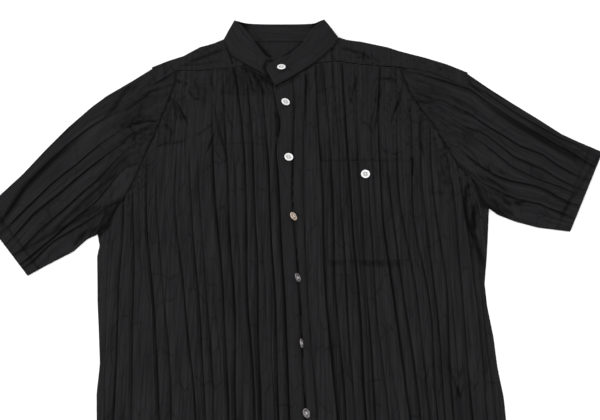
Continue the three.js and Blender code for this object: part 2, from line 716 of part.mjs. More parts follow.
// Buttons
function buttonGeometry() {
  const disc = new THREE.Shape(round(20, BUTTON.diameter / 2 - BUTTON.rim));
  const off = BUTTON.spread / 2;
  for (const [x, y] of [[off, off], [off, -off], [-off, -off], [-off, off]]) {
    disc.holes.push(new THREE.Path(round(6, BUTTON.hole / 2, x, y).reverse()));
  }
  const geometry = new THREE.ExtrudeGeometry(disc, {
    depth: BUTTON.thick - 2 * BUTTON.rim,
    bevelThickness: BUTTON.rim,
    bevelSize: BUTTON.rim,
    bevelSegments: 1,
  });
  return geometry.translate(0, 0, BUTTON.rim - BUTTON.thick / 2);
}

// Materials
const cloth = () => new THREE.MeshStandardMaterial({ color: 0x1d1d20, roughness: 0.82, metalness: 0 });
const pearl = () => new THREE.MeshStandardMaterial({ color: 0xe6e4de, roughness: 0.35, metalness: 0 });
const smoke = () => new THREE.MeshStandardMaterial({ color: 0x8d8480, roughness: 0.35, metalness: 0 });

// Assembly
const layout = new THREE.Group();
function place(name, geometry, material) {
  const mesh = new THREE.Mesh(geometry, material);
  mesh.name = name;
  layout.add(mesh);
  return mesh;
}
place("back", toGeometry(back), cloth());
place("yoke", toGeometry(yoke), cloth());
place("front_right", toGeometry(frontRight), cloth());
place("front_left", toGeometry(frontLeft), cloth());
place("button_band", toGeometry(buttonBand), cloth());
place("buttonhole_band", toGeometry(buttonholeBand), cloth());
place("sleeve_right", toGeometry(sleeveRight), cloth());
place("sleeve_left", toGeometry(sleeveLeft), cloth());
place("collar_band", toGeometry(collar), cloth());
place("pocket", toGeometry(pocket), cloth());

// Highest point of a surface under a button, sampled round its rim and centre
function seat(surface, x, y, reachX) {
  let highest = surface(x, y);
  for (let i = 0; i < 12; i++) {
    const angle = (i / 12) * 2 * Math.PI;
    const top = surface(x + reachX * Math.cos(angle), y + (BUTTON.diameter / 2) * Math.sin(angle));
    highest = Math.max(highest, top);
  }
  return highest;
}

function placeButton(name, x, y, height, tip, material) {
  const mesh = place(name, buttonGeometry(), material);
  const angle = THREE.MathUtils.degToRad(tip);
  const { diameter, thick, rim } = BUTTON;
  const side = Math.sin(angle) * (diameter / 2) + Math.cos(angle) * (thick / 2 - rim);
  const face = Math.sin(angle) * (diameter / 2 - rim) + (Math.cos(angle) * thick) / 2;
  const lift = Math.max(side, face); // from the lowest point of the rim up to the centre
  mesh.position.set(x, y, height + GAP + lift);
  mesh.rotation.set(0, -angle, 0);
  return mesh;
}

const onBand = (x, y) => heightAt(buttonholeGrid, x, y);
const onPocket = (x, y) => heightAt(pocketGrid, x, y);
placeButton("button_1", COLLAR_BUTTON.x, COLLAR_BUTTON.y, COLLAR_TOP, 0, pearl());
FRONT_BUTTONS.forEach(({ x, y, tip }, i) => {
  const height = tip > 0 ? onBand(x - 5, y) : seat(onBand, x, y, BUTTON.diameter / 2);
  placeButton("button_" + (i + 2), x, y, height, tip, tip > 0 ? smoke() : pearl());
});
const pocketSeat = seat(onPocket, POCKET_BUTTON.x, POCKET_BUTTON.y, BUTTON.diameter / 2);
placeButton("pocket_button", POCKET_BUTTON.x, POCKET_BUTTON.y, pocketSeat, 0, pearl());

// The origin is the middle of the underside, on the table.
const box = new THREE.Box3().setFromObject(layout);
layout.position.set(-(box.min.x + box.max.x) / 2, -(box.min.y + box.max.y) / 2, -box.min.z);

const shirt = new THREE.Group();
shirt.add(layout);
export default shirt;
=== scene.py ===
# %% [markdown]
# A band collar shirt, laid flat
#
# The shirt lies on its back with the front up. Its cloth is black and pressed into uneven, narrow
# pleats that run from the hem to the shoulders and out along the sleeves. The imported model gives
# every panel its place and thickness. This lesson dresses it: each panel becomes a thin sheet with
# real folded pleats, and then come the buttons, the thread and the rows of stitches.

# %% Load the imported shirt
import math
from functools import partial

import bmesh
import bpy
import numpy as np
from mathutils import Matrix, Vector
from mathutils.bvhtree import BVHTree


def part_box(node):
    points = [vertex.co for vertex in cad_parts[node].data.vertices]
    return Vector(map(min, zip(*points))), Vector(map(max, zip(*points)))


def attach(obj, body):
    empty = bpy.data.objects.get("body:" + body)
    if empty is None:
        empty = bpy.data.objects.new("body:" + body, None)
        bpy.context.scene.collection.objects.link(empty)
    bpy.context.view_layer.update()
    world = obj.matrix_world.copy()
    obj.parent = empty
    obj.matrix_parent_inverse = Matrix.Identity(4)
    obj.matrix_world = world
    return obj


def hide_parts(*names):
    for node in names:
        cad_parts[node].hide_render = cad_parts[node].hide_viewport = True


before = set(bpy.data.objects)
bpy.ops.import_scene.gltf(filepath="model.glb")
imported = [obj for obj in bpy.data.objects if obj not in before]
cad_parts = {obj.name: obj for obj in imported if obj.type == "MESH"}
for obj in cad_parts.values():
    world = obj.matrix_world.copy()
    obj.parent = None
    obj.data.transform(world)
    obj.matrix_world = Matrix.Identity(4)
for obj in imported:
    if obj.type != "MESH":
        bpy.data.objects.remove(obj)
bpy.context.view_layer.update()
print("packed pieces:", len(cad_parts))

# %% [markdown]
# The tables below give places in millimetres in the shirt's own layout, where X = 0 and Y = 0 are
# near the middle of the chest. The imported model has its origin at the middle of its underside, so
# one shift takes a place from the layout to the model. Two known corners give that shift: the
# upper corner of the wearer's right sleeve hem, and the lowest corner of the body's hem.

# %% Units and the shift from the layout to the model
MM = 0.001
SLEEVE_CORNER_X = -446.0
HEM_CORNER_Y = -490.0
SHIFT = np.array([
    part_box("sleeve_right")[0][0] / MM - SLEEVE_CORNER_X,
    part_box("back")[0][1] / MM - HEM_CORNER_Y,
    0.0,
])
print("layout to model, mm:", SHIFT.round(2))


def metres(points):
    """Layout millimetres to model metres."""
    return (np.asarray(points, float) + SHIFT) * MM

# %% [markdown]
# A few small tools come first: blends, smooth curves through table rows, X as a function of Y and
# the other way round, soft uneven ground, and the distance from every point of a sheet to a line.

# %% Small tools for numbers and curves
def mix(a, b, t):
    return a + (b - a) * t


def smooth(t):
    t = np.clip(t, 0.0, 1.0)
    return t * t * (3.0 - 2.0 * t)


def through(knots, values, at):
    """A smooth curve through (knot, value) pairs in rising order, straight beyond its ends."""
    knots, values = np.asarray(knots, float), np.asarray(values, float)
    at = np.asarray(at, float)
    slope = np.diff(values) / np.diff(knots)
    tangent = np.empty(len(knots))
    tangent[0], tangent[-1] = slope[0], slope[-1]
    tangent[1:-1] = (values[2:] - values[:-2]) / (knots[2:] - knots[:-2])
    i = np.clip(np.searchsorted(knots, at) - 1, 0, len(knots) - 2)
    span = knots[i + 1] - knots[i]
    t = np.clip((at - knots[i]) / span, 0.0, 1.0)
    bend = (
        values[i] * (1 + 2 * t) * (1 - t) ** 2
        + tangent[i] * span * t * (1 - t) ** 2
        + values[i + 1] * t * t * (3 - 2 * t)
        + tangent[i + 1] * span * t * t * (t - 1)
    )
    below = tangent[0] * np.minimum(at - knots[0], 0.0)
    above = tangent[-1] * np.maximum(at - knots[-1], 0.0)
    return bend + below + above


def run_of(*paths):
    """The length walked up to each point of a path; more paths are walked side by side and added."""
    steps = [np.linalg.norm(np.diff(path, axis=0), axis=1) for path in paths]
    return np.r_[0, np.cumsum(sum(steps))]


def by_y(outline):
    """X as a function of Y along a list of (x, y) points in rising y."""
    points = np.array(outline, float)
    return lambda y: np.interp(y, points[:, 1], points[:, 0])


def by_x(outline):
    """Y as a function of X along a list of (x, y) points in rising x."""
    points = np.array(outline, float)
    return lambda x: np.interp(x, points[:, 0], points[:, 1])


def beside(line, distance):
    """The function of Y that lies at a distance from another one."""
    return lambda y: line(y) + distance


def between(a, b, t):
    """The function of Y that lies at a share t between two others."""
    return lambda y: mix(a(y), b(y), t)


def along(path):
    """Point at a share of a polyline's length."""
    path = np.array(path, float)
    run = run_of(path)
    return lambda s: np.stack([np.interp(s * run[-1], run, path[:, k]) for k in (0, 1)], axis=-1)


def waves(x, y, seed, length, count=7):
    """Soft uneven ground between about -1 and 1: a few sine waves in seeded directions."""
    rng = np.random.default_rng(seed)
    total = np.zeros(np.broadcast(x, y).shape)
    for _ in range(count):
        turn = rng.uniform(0, math.pi)
        wave = length * rng.uniform(0.7, 1.6)
        phase = rng.uniform(0, 2 * math.pi)
        total += np.sin((x * math.cos(turn) + y * math.sin(turn)) * 2 * math.pi / wave + phase)
    return total / math.sqrt(count)


def distance_to(path, points):
    """Distance from each point to a polyline in plan, the side it lies on and its share along it."""
    path, x, y = np.asarray(path, float), points[..., 0], points[..., 1]
    best = np.full(x.shape, 1e9)
    side = np.zeros(x.shape)
    share = np.zeros(x.shape)
    run = run_of(path)
    for (ax, ay), (bx, by), start, end in zip(path[:-1], path[1:], run[:-1], run[1:]):
        dx, dy = bx - ax, by - ay
        t = np.clip(((x - ax) * dx + (y - ay) * dy) / (dx * dx + dy * dy), 0, 1)
        gap = np.hypot(x - ax - t * dx, y - ay - t * dy)
        nearer = gap < best
        best = np.where(nearer, gap, best)
        side = np.where(nearer, np.sign(dx * (y - ay) - dy * (x - ax)), side)
        share = np.where(nearer, mix(start, end, t) / run[-1], share)
    return best, side, share

# %% [markdown]
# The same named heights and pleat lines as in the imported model. A pleat line is the edge where one
# strip of cloth ends and the next begins. Its side says which way the fold lies: 1 where the
# strip on the right lies on top, -1 where the strip on the left does.

# %% Pleat lines of both fronts
LEVELS = [-480.0, -277.0, -131.0, 0.0, 93.0, 215.0]  # hem, low, waist, chest, bust, yoke
# columns: X at each level, then depth, the Y above which it fades, and the side
RIGHT_FRONT_PLEATS = [
    (-240, -250, -259, -264, -268, -272, 1.2, 40, 1),
    (-229, -236.5, -242, -246, -250, -256, 2.4, 60, 1),
    (-209, -215, -223, -232, -238, -244, 1.8, 40, 1),
    (-167, -179, -196.5, -213, -219, -226, 2.5, 40, 1),
    (-152, -164, -181, -199, -204, -210, 1.8, 45, 1),
    (-121, -134, -153, -173, -178, -190, 2.6, 50, 1),
    (-109, -120, -135, -151, -160, -171, 1.6, 50, 1),
    (-98, -109, -124, -139, -145, -151, 1.3, 50, 1),
    (-83, -91, -102, -115, -124, -132, 2.4, 150, 1),
    (-73, -82, -87, -98, -105, -114, 2.4, 300, 1),
    (-50, -57, -68, -74.5, -79, -95, 2.6, 300, 1),
    (-40, -49, -55, -62, -67, -77, 2.2, 300, 1),
    (-18, -26, -33, -41, -45, -57, 2.2, 300, 1),
]
LEFT_FRONT_PLEATS = [
    (55, 46, 34, 31, 26.5, 22, 2.52, 300, -1),
    (70, 60, 50, 46.5, 45, 36, 1.8, 300, 1),
    (80, 71, 64, 59, 57, 51, 1.26, 300, 1),
    (97, 85.5, 80, 73.5, 70, 64, 2.25, 300, 1),
    (108, 97, 92, 87, 84, 81, 1.35, 300, 1),
    (122, 113, 103, 99, 96, 94, 1.26, 20, 1),
    (150, 139, 124.5, 113, 112, 117, 2.43, 300, -1),
    (164, 155, 141, 129, 127, 130, 1.8, 60, 1),
    (176, 166, 158, 143, 140, 144, 1.26, 300, 1),
    (186, 176, 174, 159, 161, 166, 1.53, 160, 1),
    (193, 186, 184, 174, 174, 180, 1.35, 140, 1),
    (205, 197, 199, 190, 188, 194, 1.44, 120, 1),
    (232, 222, 218, 218, 210, 208, 1.62, 80, 1),
    (246, 238, 236, 229, 222, 218, 1.8, 70, -1),
    (257, 248, 244, 240, 232, 226, 1.08, 60, -1),
]
# columns: number of the gap between two main pleats, share of that gap, depth
RIGHT_FRONT_FINE = [(1, 0.55, 0.7), (2, 0.4, 0.9), (2, 0.72, 0.7), (4, 0.45, 0.9), (5, 0.5, 0.6),
                    (7, 0.5, 0.8), (9, 0.42, 1.0), (11, 0.4, 0.8), (11, 0.75, 0.9)]
LEFT_FRONT_FINE = [(0, 0.5, 0.8), (2, 0.55, 0.9), (3, 0.5, 0.7), (5, 0.45, 0.9), (9, 0.5, 0.7),
                   (11, 0.35, 0.8), (11, 0.7, 0.7)]

# %% [markdown]
# The outlines are lists of (x, y) points, again in the layout's millimetres: both side seams, both
# armholes, the seams where the yoke meets the fronts, the shoulders, and the buttonhole band.

# %% Outlines of the panels
RIGHT_SIDE = [(-254, -490), (-260, -290), (-263, -257), (-262, -217), (-268, -166),
              (-272, -134), (-278, -69), (-276, -53), (-280, -37)]
LEFT_SIDE = [(272, -460), (263.5, -290), (263, -262), (258, -222), (256, -181),
             (251, -140), (250, -108), (255, -75), (259, -45), (264.5, 2)]
RIGHT_ARMHOLE = [(-280, -37), (-268, -27), (-261, -9), (-249, 14), (-236, 40), (-224, 78),
                 (-212, 110), (-203, 139), (-193, 172), (-186, 197), (-183, 222)]
LEFT_ARMHOLE = [(264.5, 2), (253, 13), (244, 46), (227, 64), (221, 76), (208, 103), (195, 129),
                (181, 152), (169, 171), (157, 197), (148.5, 228)]
RIGHT_YOKE_SEAM = [(-218, 198), (-196, 214), (-183, 222), (-149, 223), (-110, 226), (-84, 231)]
LEFT_YOKE_SEAM = [(22, 235), (52, 239), (86, 234), (124, 230), (148.5, 228.5), (195, 220),
                  (224, 206), (245, 193)]
RIGHT_SHOULDER = [(-221, 226), (-198, 237), (-174, 246), (-151, 261), (-129, 268), (-118, 272)]
LEFT_SHOULDER = [(61, 276), (67, 274), (91, 271), (132, 261), (150, 254), (187, 243),
                 (218, 232), (250, 217)]
BACK_YOKE_SEAM = 172.0
NECK_BACK = 273.2
# columns: Y, then X of the left edge, the crease and the right edge of the buttonhole band
BAND = np.array([
    (-500, -2, 21, 34.5), (-376, -8, 14, 26.5), (-280, -12.5, 8, 20.6), (-200, -16, 4, 14.5),
    (-130, -19, 0.7, 9.5), (-60, -24, -4, 6.5), (0, -27, -9, 4.5), (50, -29.5, -9.5, 3.4),
    (92, -33, -9.5, 4), (132, -28, -8, 5), (168, -35, -7, 6.4), (215, -43, -12, 7.2),
])


def band_line(column):
    return lambda y: through(BAND[:, 0], BAND[:, column], y)


band_left, band_crease, band_right = (band_line(column) for column in (1, 2, 3))


def hem_y(x):
    """Y of the hem, a straight line between the lower ends of both sides."""
    (x0, y0), (x1, y1) = RIGHT_SIDE[0], LEFT_SIDE[0]
    return mix(y0, y1, (np.asarray(x) - x0) / (x1 - x0))

# %% [markdown]
# Next, each row of the pleat tables becomes a line: functions that give its X and its depth at any
# Y. A little seeded wander keeps the lines from looking ruled.

# %% Lines that follow the pleats
def pleat_line(pleat, seed):
    """A pleat from its row of the table: its X and its depth at any y, its side, and that it is main."""
    def place(y):
        wander = 0.6 * np.sin(y / 31.0 + seed * 2.1) + 0.5 * np.sin(y / 67.0 + seed * 1.3)
        return through(LEVELS, pleat[:6], y) + wander

    def depth(y):
        near = mix(0.12, 1.0, smooth((pleat[7] + 50 - y) / 90))
        breath = 1 + 0.18 * np.sin(y / 53.0 + seed * 1.7) + 0.1 * np.sin(y / 19.0 + seed * 0.9)
        return pleat[6] * near * breath * mix(1.0, 0.62, smooth((y - 70) / 50))

    return place, depth, pleat[8], True


def fine_line(left, right, share, size, seed):
    """A fine pleat between two main ones, which comes and goes along its length."""
    def place(y):
        wander = 0.05 * np.sin(y / 47.0 + seed * 2.7) + 0.03 * np.sin(y / 21.0 + seed)
        return mix(left[0](y), right[0](y), share + wander)

    def depth(y):
        return size * (0.75 + 0.35 * np.sin(y / 61.0 + seed * 2.2)) * mix(1.0, 0.4, smooth((y - 60) / 90))

    return place, depth, 1, False


def all_lines(table, fine):
    """The main pleats of a panel with its fine ones, from left to right."""
    main = [pleat_line(row, i) for i, row in enumerate(table)]
    lines = list(main)
    for seed, (gap, share, size) in enumerate(fine):
        lines.append(fine_line(main[gap], main[gap + 1], share, size, seed))
    waist = np.array(-131.0)
    return sorted(lines, key=lambda line: float(line[0](waist)))

# %% [markdown]
# Cloth. A panel is a grid of points, whose columns follow the pleats and whose rows run across
# them. A pleat folds back under its own edge, so its columns step forward, back and forward
# again, which a height map can't do. The grid becomes a mesh, and a Solidify modifier gives the
# sheet its thickness. The UV map holds millimetres across and along the cloth for the weave.

# %% From a grid of points to a sheet of cloth
CLOTH_THICK = 0.35  # mm
LINE_DARK = 0.45  # painted shade noted for each millimetre that a crease is deep
SEAM_DARK = 0.9  # and that a seam is deep
ALL_SHEETS = {}


def with_line(points):
    """A grid of points with a fourth column, for the painted shade of the creases."""
    points = np.asarray(points, float)
    return np.concatenate([points, np.zeros(points.shape[:-1] + (1,))], axis=-1)


def grid_faces(rows, columns, ring=False):
    wide = columns if ring else columns - 1
    i, j = np.meshgrid(np.arange(rows - 1), np.arange(wide), indexing="ij")
    nxt = (j + 1) % columns
    return np.stack([i * columns + j, i * columns + nxt, (i + 1) * columns + nxt, (i + 1) * columns + j],
                    axis=-1).reshape(-1, 4)


def openness(grid, reach=7.0):
    """How far each point of a grid lies open to the sky: 1 on flat cloth, near 0 deep in a fold."""
    plan, high = grid[..., :2], grid[..., 2]
    walls = []
    for axis, steps in ((1, 12), (0, 2)):
        for way in (1, -1):
            wall = np.zeros(high.shape)
            for k in range(1, steps + 1):
                ends = [slice(None, -k), slice(k, None)][::way]
                here, there = (tuple(end if i == axis else slice(None) for i in (0, 1)) for end in ends)
                apart = np.maximum(np.linalg.norm(plan[there] - plan[here], axis=-1), 0.5)
                slope = np.where(apart < reach, (high[there] - high[here]) / apart, 0.0)
                wall[here] = np.maximum(wall[here], slope)
            walls.append(wall / np.sqrt(1 + wall ** 2))
    return np.clip(1 - 0.5 * (walls[0] + walls[1]) - 0.25 * (walls[2] + walls[3]), 0, 1)


def mesh_from(name, points, faces, uv, shade):
    mesh = bpy.data.meshes.new(name)
    mesh.from_pydata(points.tolist(), [], faces.tolist())
    shadow = mesh.attributes.new("fold_shade", "FLOAT", "POINT")
    shadow.data.foreach_set("value", shade.astype(np.float32).ravel())
    layer = mesh.uv_layers.new(name="cloth_mm")
    corner = np.empty(len(mesh.loops), int)
    mesh.loops.foreach_get("vertex_index", corner)
    layer.data.foreach_set("uv", uv[corner].astype(np.float32).ravel())
    mesh.shade_smooth()
    mesh.validate()
    return mesh


def add_object(name, mesh):
    piece = bpy.data.objects.new(name, mesh)
    bpy.context.scene.collection.objects.link(piece)
    return piece


def settle(piece):
    """Turns a piece with modifiers into the plain mesh that they make."""
    bpy.context.view_layer.update()
    depsgraph = bpy.context.evaluated_depsgraph_get()
    shown = piece.evaluated_get(depsgraph)
    made = bpy.data.meshes.new_from_object(shown, preserve_all_data_layers=True, depsgraph=depsgraph)
    piece.modifiers.clear()
    piece.data = made
    return piece


def face_outwards(mesh, close=False):
    """Turns the faces of a mesh outwards, after closing its open ends if that is asked for."""
    work = bmesh.new()
    work.from_mesh(mesh)
    if close:
        bmesh.ops.holes_fill(work, edges=[e for e in work.edges if e.is_boundary])
    bmesh.ops.recalc_face_normals(work, faces=work.faces)
    work.to_mesh(mesh)
    work.free()
    mesh.shade_smooth()


def cloth_sheet(name, grid, material, thick=CLOTH_THICK, ring=False, uv=None, shade=None):
    """A sheet of cloth from a grid of layout points, rows along Y and columns along X."""
    rows, columns = grid.shape[:2]
    uv = grid[..., :2] if uv is None else uv
    # painted shade: how open each point lies to the sky, lowered by the darkness in the fourth column,
    # darkens the colour through the fold_shade attribute
    shade = openness(grid) if shade is None else shade
    shade = shade * (1 - 0.8 * np.clip(grid[..., 3], 0, 1))
    points = metres(grid[..., :3].reshape(-1, 3))
    mesh = mesh_from(name, points, grid_faces(rows, columns, ring), uv.reshape(-1, 2), shade)
    piece = add_object(name, mesh)
    wall = piece.modifiers.new("wall", "SOLIDIFY")
    wall.thickness, wall.offset, wall.use_even_offset = thick * MM, -1, False
    settle(piece)
    piece.data.materials.clear()
    piece.data.materials.append(material)
    ALL_SHEETS[name] = piece
    count = sum(len(p.vertices) - 2 for p in piece.data.polygons)
    print(f"{name}: {columns} columns, {rows} rows, {count} triangles")
    return piece

# %% [markdown]
# Finishes. The cloth is a black plain weave. Its own colour is very dark and it hardly shines, but
# its fibres catch a little light at a low angle, which the sheen layer gives. Two bumps
# give it a surface: the threads of the weave, and fine crinkles that run along the pleats.
# Painted shade darkens its colour and shine deep in the folds and along the small creases.

# %% Add, set and join shader nodes
def feed(tree, node, inputs):
    """Gives each named input a value, or the output that feeds it (a node stands for its first)."""
    for socket, value in inputs.items():
        if isinstance(value, bpy.types.Node):
            value = value.outputs[0]
        if isinstance(value, bpy.types.NodeSocket):
            tree.links.new(value, node.inputs[socket])
        else:
            node.inputs[socket].default_value = value


def add_node(tree, kind, inputs=None, **settings):
    node = tree.nodes.new(kind)
    for name, value in settings.items():
        setattr(node, name, value)
    feed(tree, node, inputs or {})
    return node


def new_material(name, colour, roughness, specular):
    material = bpy.data.materials.new(name)
    material.use_nodes = True
    tree = material.node_tree
    shader = tree.nodes["Principled BSDF"]
    feed(tree, shader, {"Base Color": (*colour, 1), "Roughness": roughness, "Specular IOR Level": specular})
    return material, tree, shader


def colour_ramp(tree, source, *stops):
    """A ramp between two (place, colour) stops."""
    ramp = add_node(tree, "ShaderNodeValToRGB", {"Fac": source})
    for element, (place, colour) in zip(ramp.color_ramp.elements, stops):
        element.position = place
        element.color = (*colour, 1)
    return ramp


def map_range(tree, source, low, high, to_low, to_high):
    return add_node(tree, "ShaderNodeMapRange", {
        "Value": source, "From Min": low, "From Max": high, "To Min": to_low, "To Max": to_high})

# %% Cloth material
CLOTH_SHINE = 0.12
DEEP_BLACK = (0.0008, 0.0008, 0.001, 1)  # the cloth's colour where no light comes


def black_cloth(name, crinkle_strength, crease_share, uneven):
    """Black cloth. The last two say how much the small creases and the uneven dye show."""
    material, tree, shader = new_material(name, (0.006, 0.006, 0.0066), 0.75, CLOTH_SHINE)
    add = partial(add_node, tree)
    place = add("ShaderNodeUVMap", uv_map="cloth_mm")
    # small sharp creases, a bump with painted shade: the borders of long, bent cells, which show in some
    # places only
    cells = add("ShaderNodeMapping", {"Vector": place, "Scale": (0.075, 0.026, 1)})
    bend = add("ShaderNodeTexNoise", {"Vector": place, "Scale": 0.035, "Detail": 1.0})
    bent = add("ShaderNodeVectorMath", {0: bend.outputs["Color"], 1: (1.1, 0.5, 0), 2: cells},
               operation="MULTIPLY_ADD")
    net = add("ShaderNodeTexVoronoi", {"Vector": bent, "Scale": 1.0},
              voronoi_dimensions="2D", feature="DISTANCE_TO_EDGE")
    line = map_range(tree, net.outputs["Distance"], 0.0, 0.075, 1.0, 0.0)
    where = add("ShaderNodeTexNoise", {"Vector": place, "Scale": 0.022, "Detail": 2.0})
    seen = map_range(tree, where, 0.40, 0.62, 0.1 * crease_share, crease_share)
    crease = add("ShaderNodeMath", {0: line, 1: seen}, operation="MULTIPLY")
    flat = add("ShaderNodeMath", {0: 1.0, 1: crease}, operation="SUBTRACT")
    # the cloth deep in a fold gets little light: it darkens the colour and the shine
    shade = add("ShaderNodeAttribute", attribute_name="fold_shade")
    open_sky = map_range(tree, shade.outputs["Fac"], 0.1, 0.85, 0.12, 1.0)
    lit = add("ShaderNodeMath", {0: open_sky, 1: flat}, operation="MULTIPLY")
    shine = add("ShaderNodeMath", {0: lit, 1: CLOTH_SHINE}, operation="MULTIPLY")
    # colour: slow uneven dye, and streaks along the pleats
    streak_scale = add("ShaderNodeMapping", {"Vector": place, "Scale": (0.32, 0.012, 1)})
    streaks = add("ShaderNodeTexNoise", {"Vector": streak_scale, "Scale": 1.0, "Detail": 5.0})
    tone = colour_ramp(tree, streaks, (0.34, (0.0062 - uneven, 0.0062 - uneven, 0.007 - uneven)),
                       (0.66, (0.0062 + uneven, 0.0062 + uneven, 0.0072 + uneven)))
    colour = add("ShaderNodeMix", {"Factor": lit, "A": DEEP_BLACK, "B": tone}, data_type="RGBA")
    # surface: threads of the weave over fine crinkles
    weave = add("ShaderNodeTexBrick", {
        "Vector": place, "Scale": 1.0, "Brick Width": 0.62, "Row Height": 0.31, "Mortar Size": 0.06,
        "Mortar Smooth": 0.6, "Color1": (1, 1, 1, 1), "Color2": (0.7, 0.7, 0.7, 1), "Mortar": (0, 0, 0, 1)})
    threads = add("ShaderNodeBump", {"Height": weave, "Strength": 0.35, "Distance": 0.00008})
    height = add("ShaderNodeMath", {0: crease, 1: -0.45, 2: streaks}, operation="MULTIPLY_ADD")
    crinkle = add("ShaderNodeBump", {
        "Height": height, "Normal": threads, "Strength": crinkle_strength, "Distance": 0.0012})
    feed(tree, shader, {"Base Color": colour.outputs["Result"], "Specular IOR Level": shine,
                        "Normal": crinkle, "Sheen Weight": 0.03, "Sheen Roughness": 0.6})
    return material


CLOTH = black_cloth("pleated_cloth", 0.8, 0.4, 0.0036)
PLAIN = black_cloth("plain_cloth", 0.4, 0.4, 0.002)
print("materials:", CLOTH.name, PLAIN.name)

# %% [markdown]
# One pleat. Seen from its end, the cloth comes down into the valley, slips under the next
# strip, turns back and climbs over the edge. These rows give that path for a fold whose right-hand
# strip lies on top. The other kind is the same path seen in a mirror.

# %% The folded edge of a pleat
# columns: millimetres across from the pleat's edge, and height as a share of its depth
FOLD = [(-5.4, -0.12), (-3.2, -0.42), (-2.0, -0.85), (-1.0, -1.0), (0.4, -0.95), (0.9, -0.45), (0.5, 0.0),
        (0.05, 0.3), (0.5, 0.44), (1.8, 0.48)]
FINE_FOLD = [(-2.6, -0.12), (-1.2, -0.6), (-0.4, -1.0), (0.3, -0.7), (0.7, -0.15), (1.6, 0.1)]
STRIP_COLUMNS = 4
WIDE_STRIP = 8.0  # a strip narrower than this has a smaller fold


def fold_path(line):
    """The path of a line's fold, seen in a mirror when the strip on its left lies on top."""
    path = FOLD if line[3] else FINE_FOLD
    return path if line[2] > 0 else [(-across, share) for across, share in reversed(path)]


def strip_height(s, left, right):
    """Height across a strip, s from 0 to 1: a soft arch between the heights of its two ends."""
    return mix(left, right, s) + 0.3 * np.sin(math.pi * s)


def folded_row(lines, places, depths, low_edge, high_edge):
    """Places and heights of every column across a panel, from the pleats' places and depths."""
    wide = np.diff([low_edge, *places, high_edge], axis=0)
    sizes = [np.clip(np.minimum(a, b) / WIDE_STRIP, 0.12, 1.0) for a, b in zip(wide[:-1], wide[1:])]
    folds = [[(place + across * size, depth * share) for across, share in fold_path(line)]
             for line, place, depth, size in zip(lines, places, depths, sizes)]
    low_end, high_end = (low_edge, 0.0 * low_edge), (high_edge, 0.0 * low_edge)
    points = [low_end]
    for before, after in zip([[low_end], *folds], [*folds, [high_end]]):
        (start, left), (end, right) = before[-1], after[0]
        for k in range(1, STRIP_COLUMNS + 1):
            s = k / (STRIP_COLUMNS + 1)
            points.append((mix(start, end, s), strip_height(s, left, right)))
        points += after
    xs, zs = zip(*points)
    return np.array(xs), np.array(zs)


def pleated_columns(lines, left_edge, right_edge, y):
    """X and height of every column of a pleated panel at the heights y, as rows of arrays."""
    count = len(lines)
    low, high = left_edge(y), right_edge(y)
    places = [np.clip(line[0](y), low + 1.5 + i, high - 1.5 - (count - i)) for i, line in enumerate(lines)]
    return folded_row(lines, places, [line[1](y) for line in lines], low, high)

# %% [markdown]
# A front panel stands on the hem and ends at the armhole, the yoke seam and the neckline. Each
# column is first followed upwards until it crosses that upper edge, and then gets its own even
# rows between the hem and the crossing, so the panel's outline is exact and needs no cutting.

# %% Fit the columns between the hem and the upper edge
LOWER_ROWS, UPPER_ROWS = 70, 58
UPPER_FROM = 0.76  # share of the height above which the rows stand closer
TALL_STEP = 3.0
TALL = np.arange(-500.0, 285.0, TALL_STEP)
AT_HEM = 7  # the height in TALL where a column is near the hem
FRONT_SHARES = np.r_[np.linspace(0, UPPER_FROM, LOWER_ROWS, endpoint=False),
                     np.linspace(UPPER_FROM, 1, UPPER_ROWS)]


def fitted_panel(columns_at, upper_edge, shares):
    """Grid of layout points (x, y, height, painted shade) between the hem and the upper edge."""
    xs, _ = columns_at(TALL)
    tops = []
    for column in xs:
        over = np.nonzero(TALL > upper_edge(column))[0]
        k = over[0] if len(over) else len(TALL) - 1
        a = upper_edge(column[k - 1]) - TALL[k - 1]
        b = TALL[k] - upper_edge(column[k])
        tops.append(TALL[k - 1] + TALL_STEP * a / max(a + b, 1e-6))
    tops, hems = np.array(tops), hem_y(xs[:, AT_HEM])
    grid = np.zeros((len(shares), len(tops), 4))
    for row, share in zip(grid, shares):
        y = mix(hems, tops, share)
        xs, zs = columns_at(y)
        row[:, 0], row[:, 1], row[:, 2] = np.diagonal(xs), y, np.diagonal(zs)
    return grid

# %% [markdown]
# Real cloth also carries creases, crumples and puckers, and sinks into its seams. Each is a small
# function that adds to the height of a grid and to the painted shade noted in its fourth column.

# %% Creases, ground and seams shared by the panels
def sink(grid, gap, depth, width, strength=1.0, dark=LINE_DARK):
    """Lowers the cloth where the gap to a line is small, and notes painted shade there."""
    groove = strength * np.exp(-((gap / width) ** 2))
    grid[..., 2] -= depth * groove
    grid[..., 3] += dark * depth * groove


def shade_along(grid, path, dark, width):
    """Notes that the cloth beside a path lies in the shade of what is over it. Nothing moves."""
    gap, _, share = distance_to(path, grid)
    ends = smooth(share / 0.12) * smooth((1 - share) / 0.12)
    grid[..., 3] += dark * ends * np.exp(-((gap / width) ** 2))


def shade_patch(grid, x_range, y_range, dark, blur):
    """A darker patch with one sharp lower edge, where the cloth leans away from the light."""
    x, y = grid[..., 0], grid[..., 1]
    wide = smooth((x - x_range[0]) / blur) * smooth((x_range[1] - x) / blur)
    tall = smooth((y - y_range[0]) / 3.0) * smooth((y_range[1] - y) / (2 * blur))
    grid[..., 3] += dark * wide * tall


def press_crease(grid, path, depth, width, ridge=0.5):
    """A soft trough along a path, with a low ridge on its left side. It dies out at both ends."""
    gap, side, share = distance_to(path, grid)
    ends = smooth(share / 0.25) * smooth((1 - share) / 0.25)
    sink(grid, gap, depth, width, ends)
    grid[..., 2] += ridge * depth * ends * np.exp(-(((gap * side - 1.8 * width) / width) ** 2))


def dip_at(grid, path, depth=0.8, width=1.8):
    """The cloth sinks into a seam that runs along a path."""
    sink(grid, distance_to(path, grid)[0], depth, width, dark=SEAM_DARK)


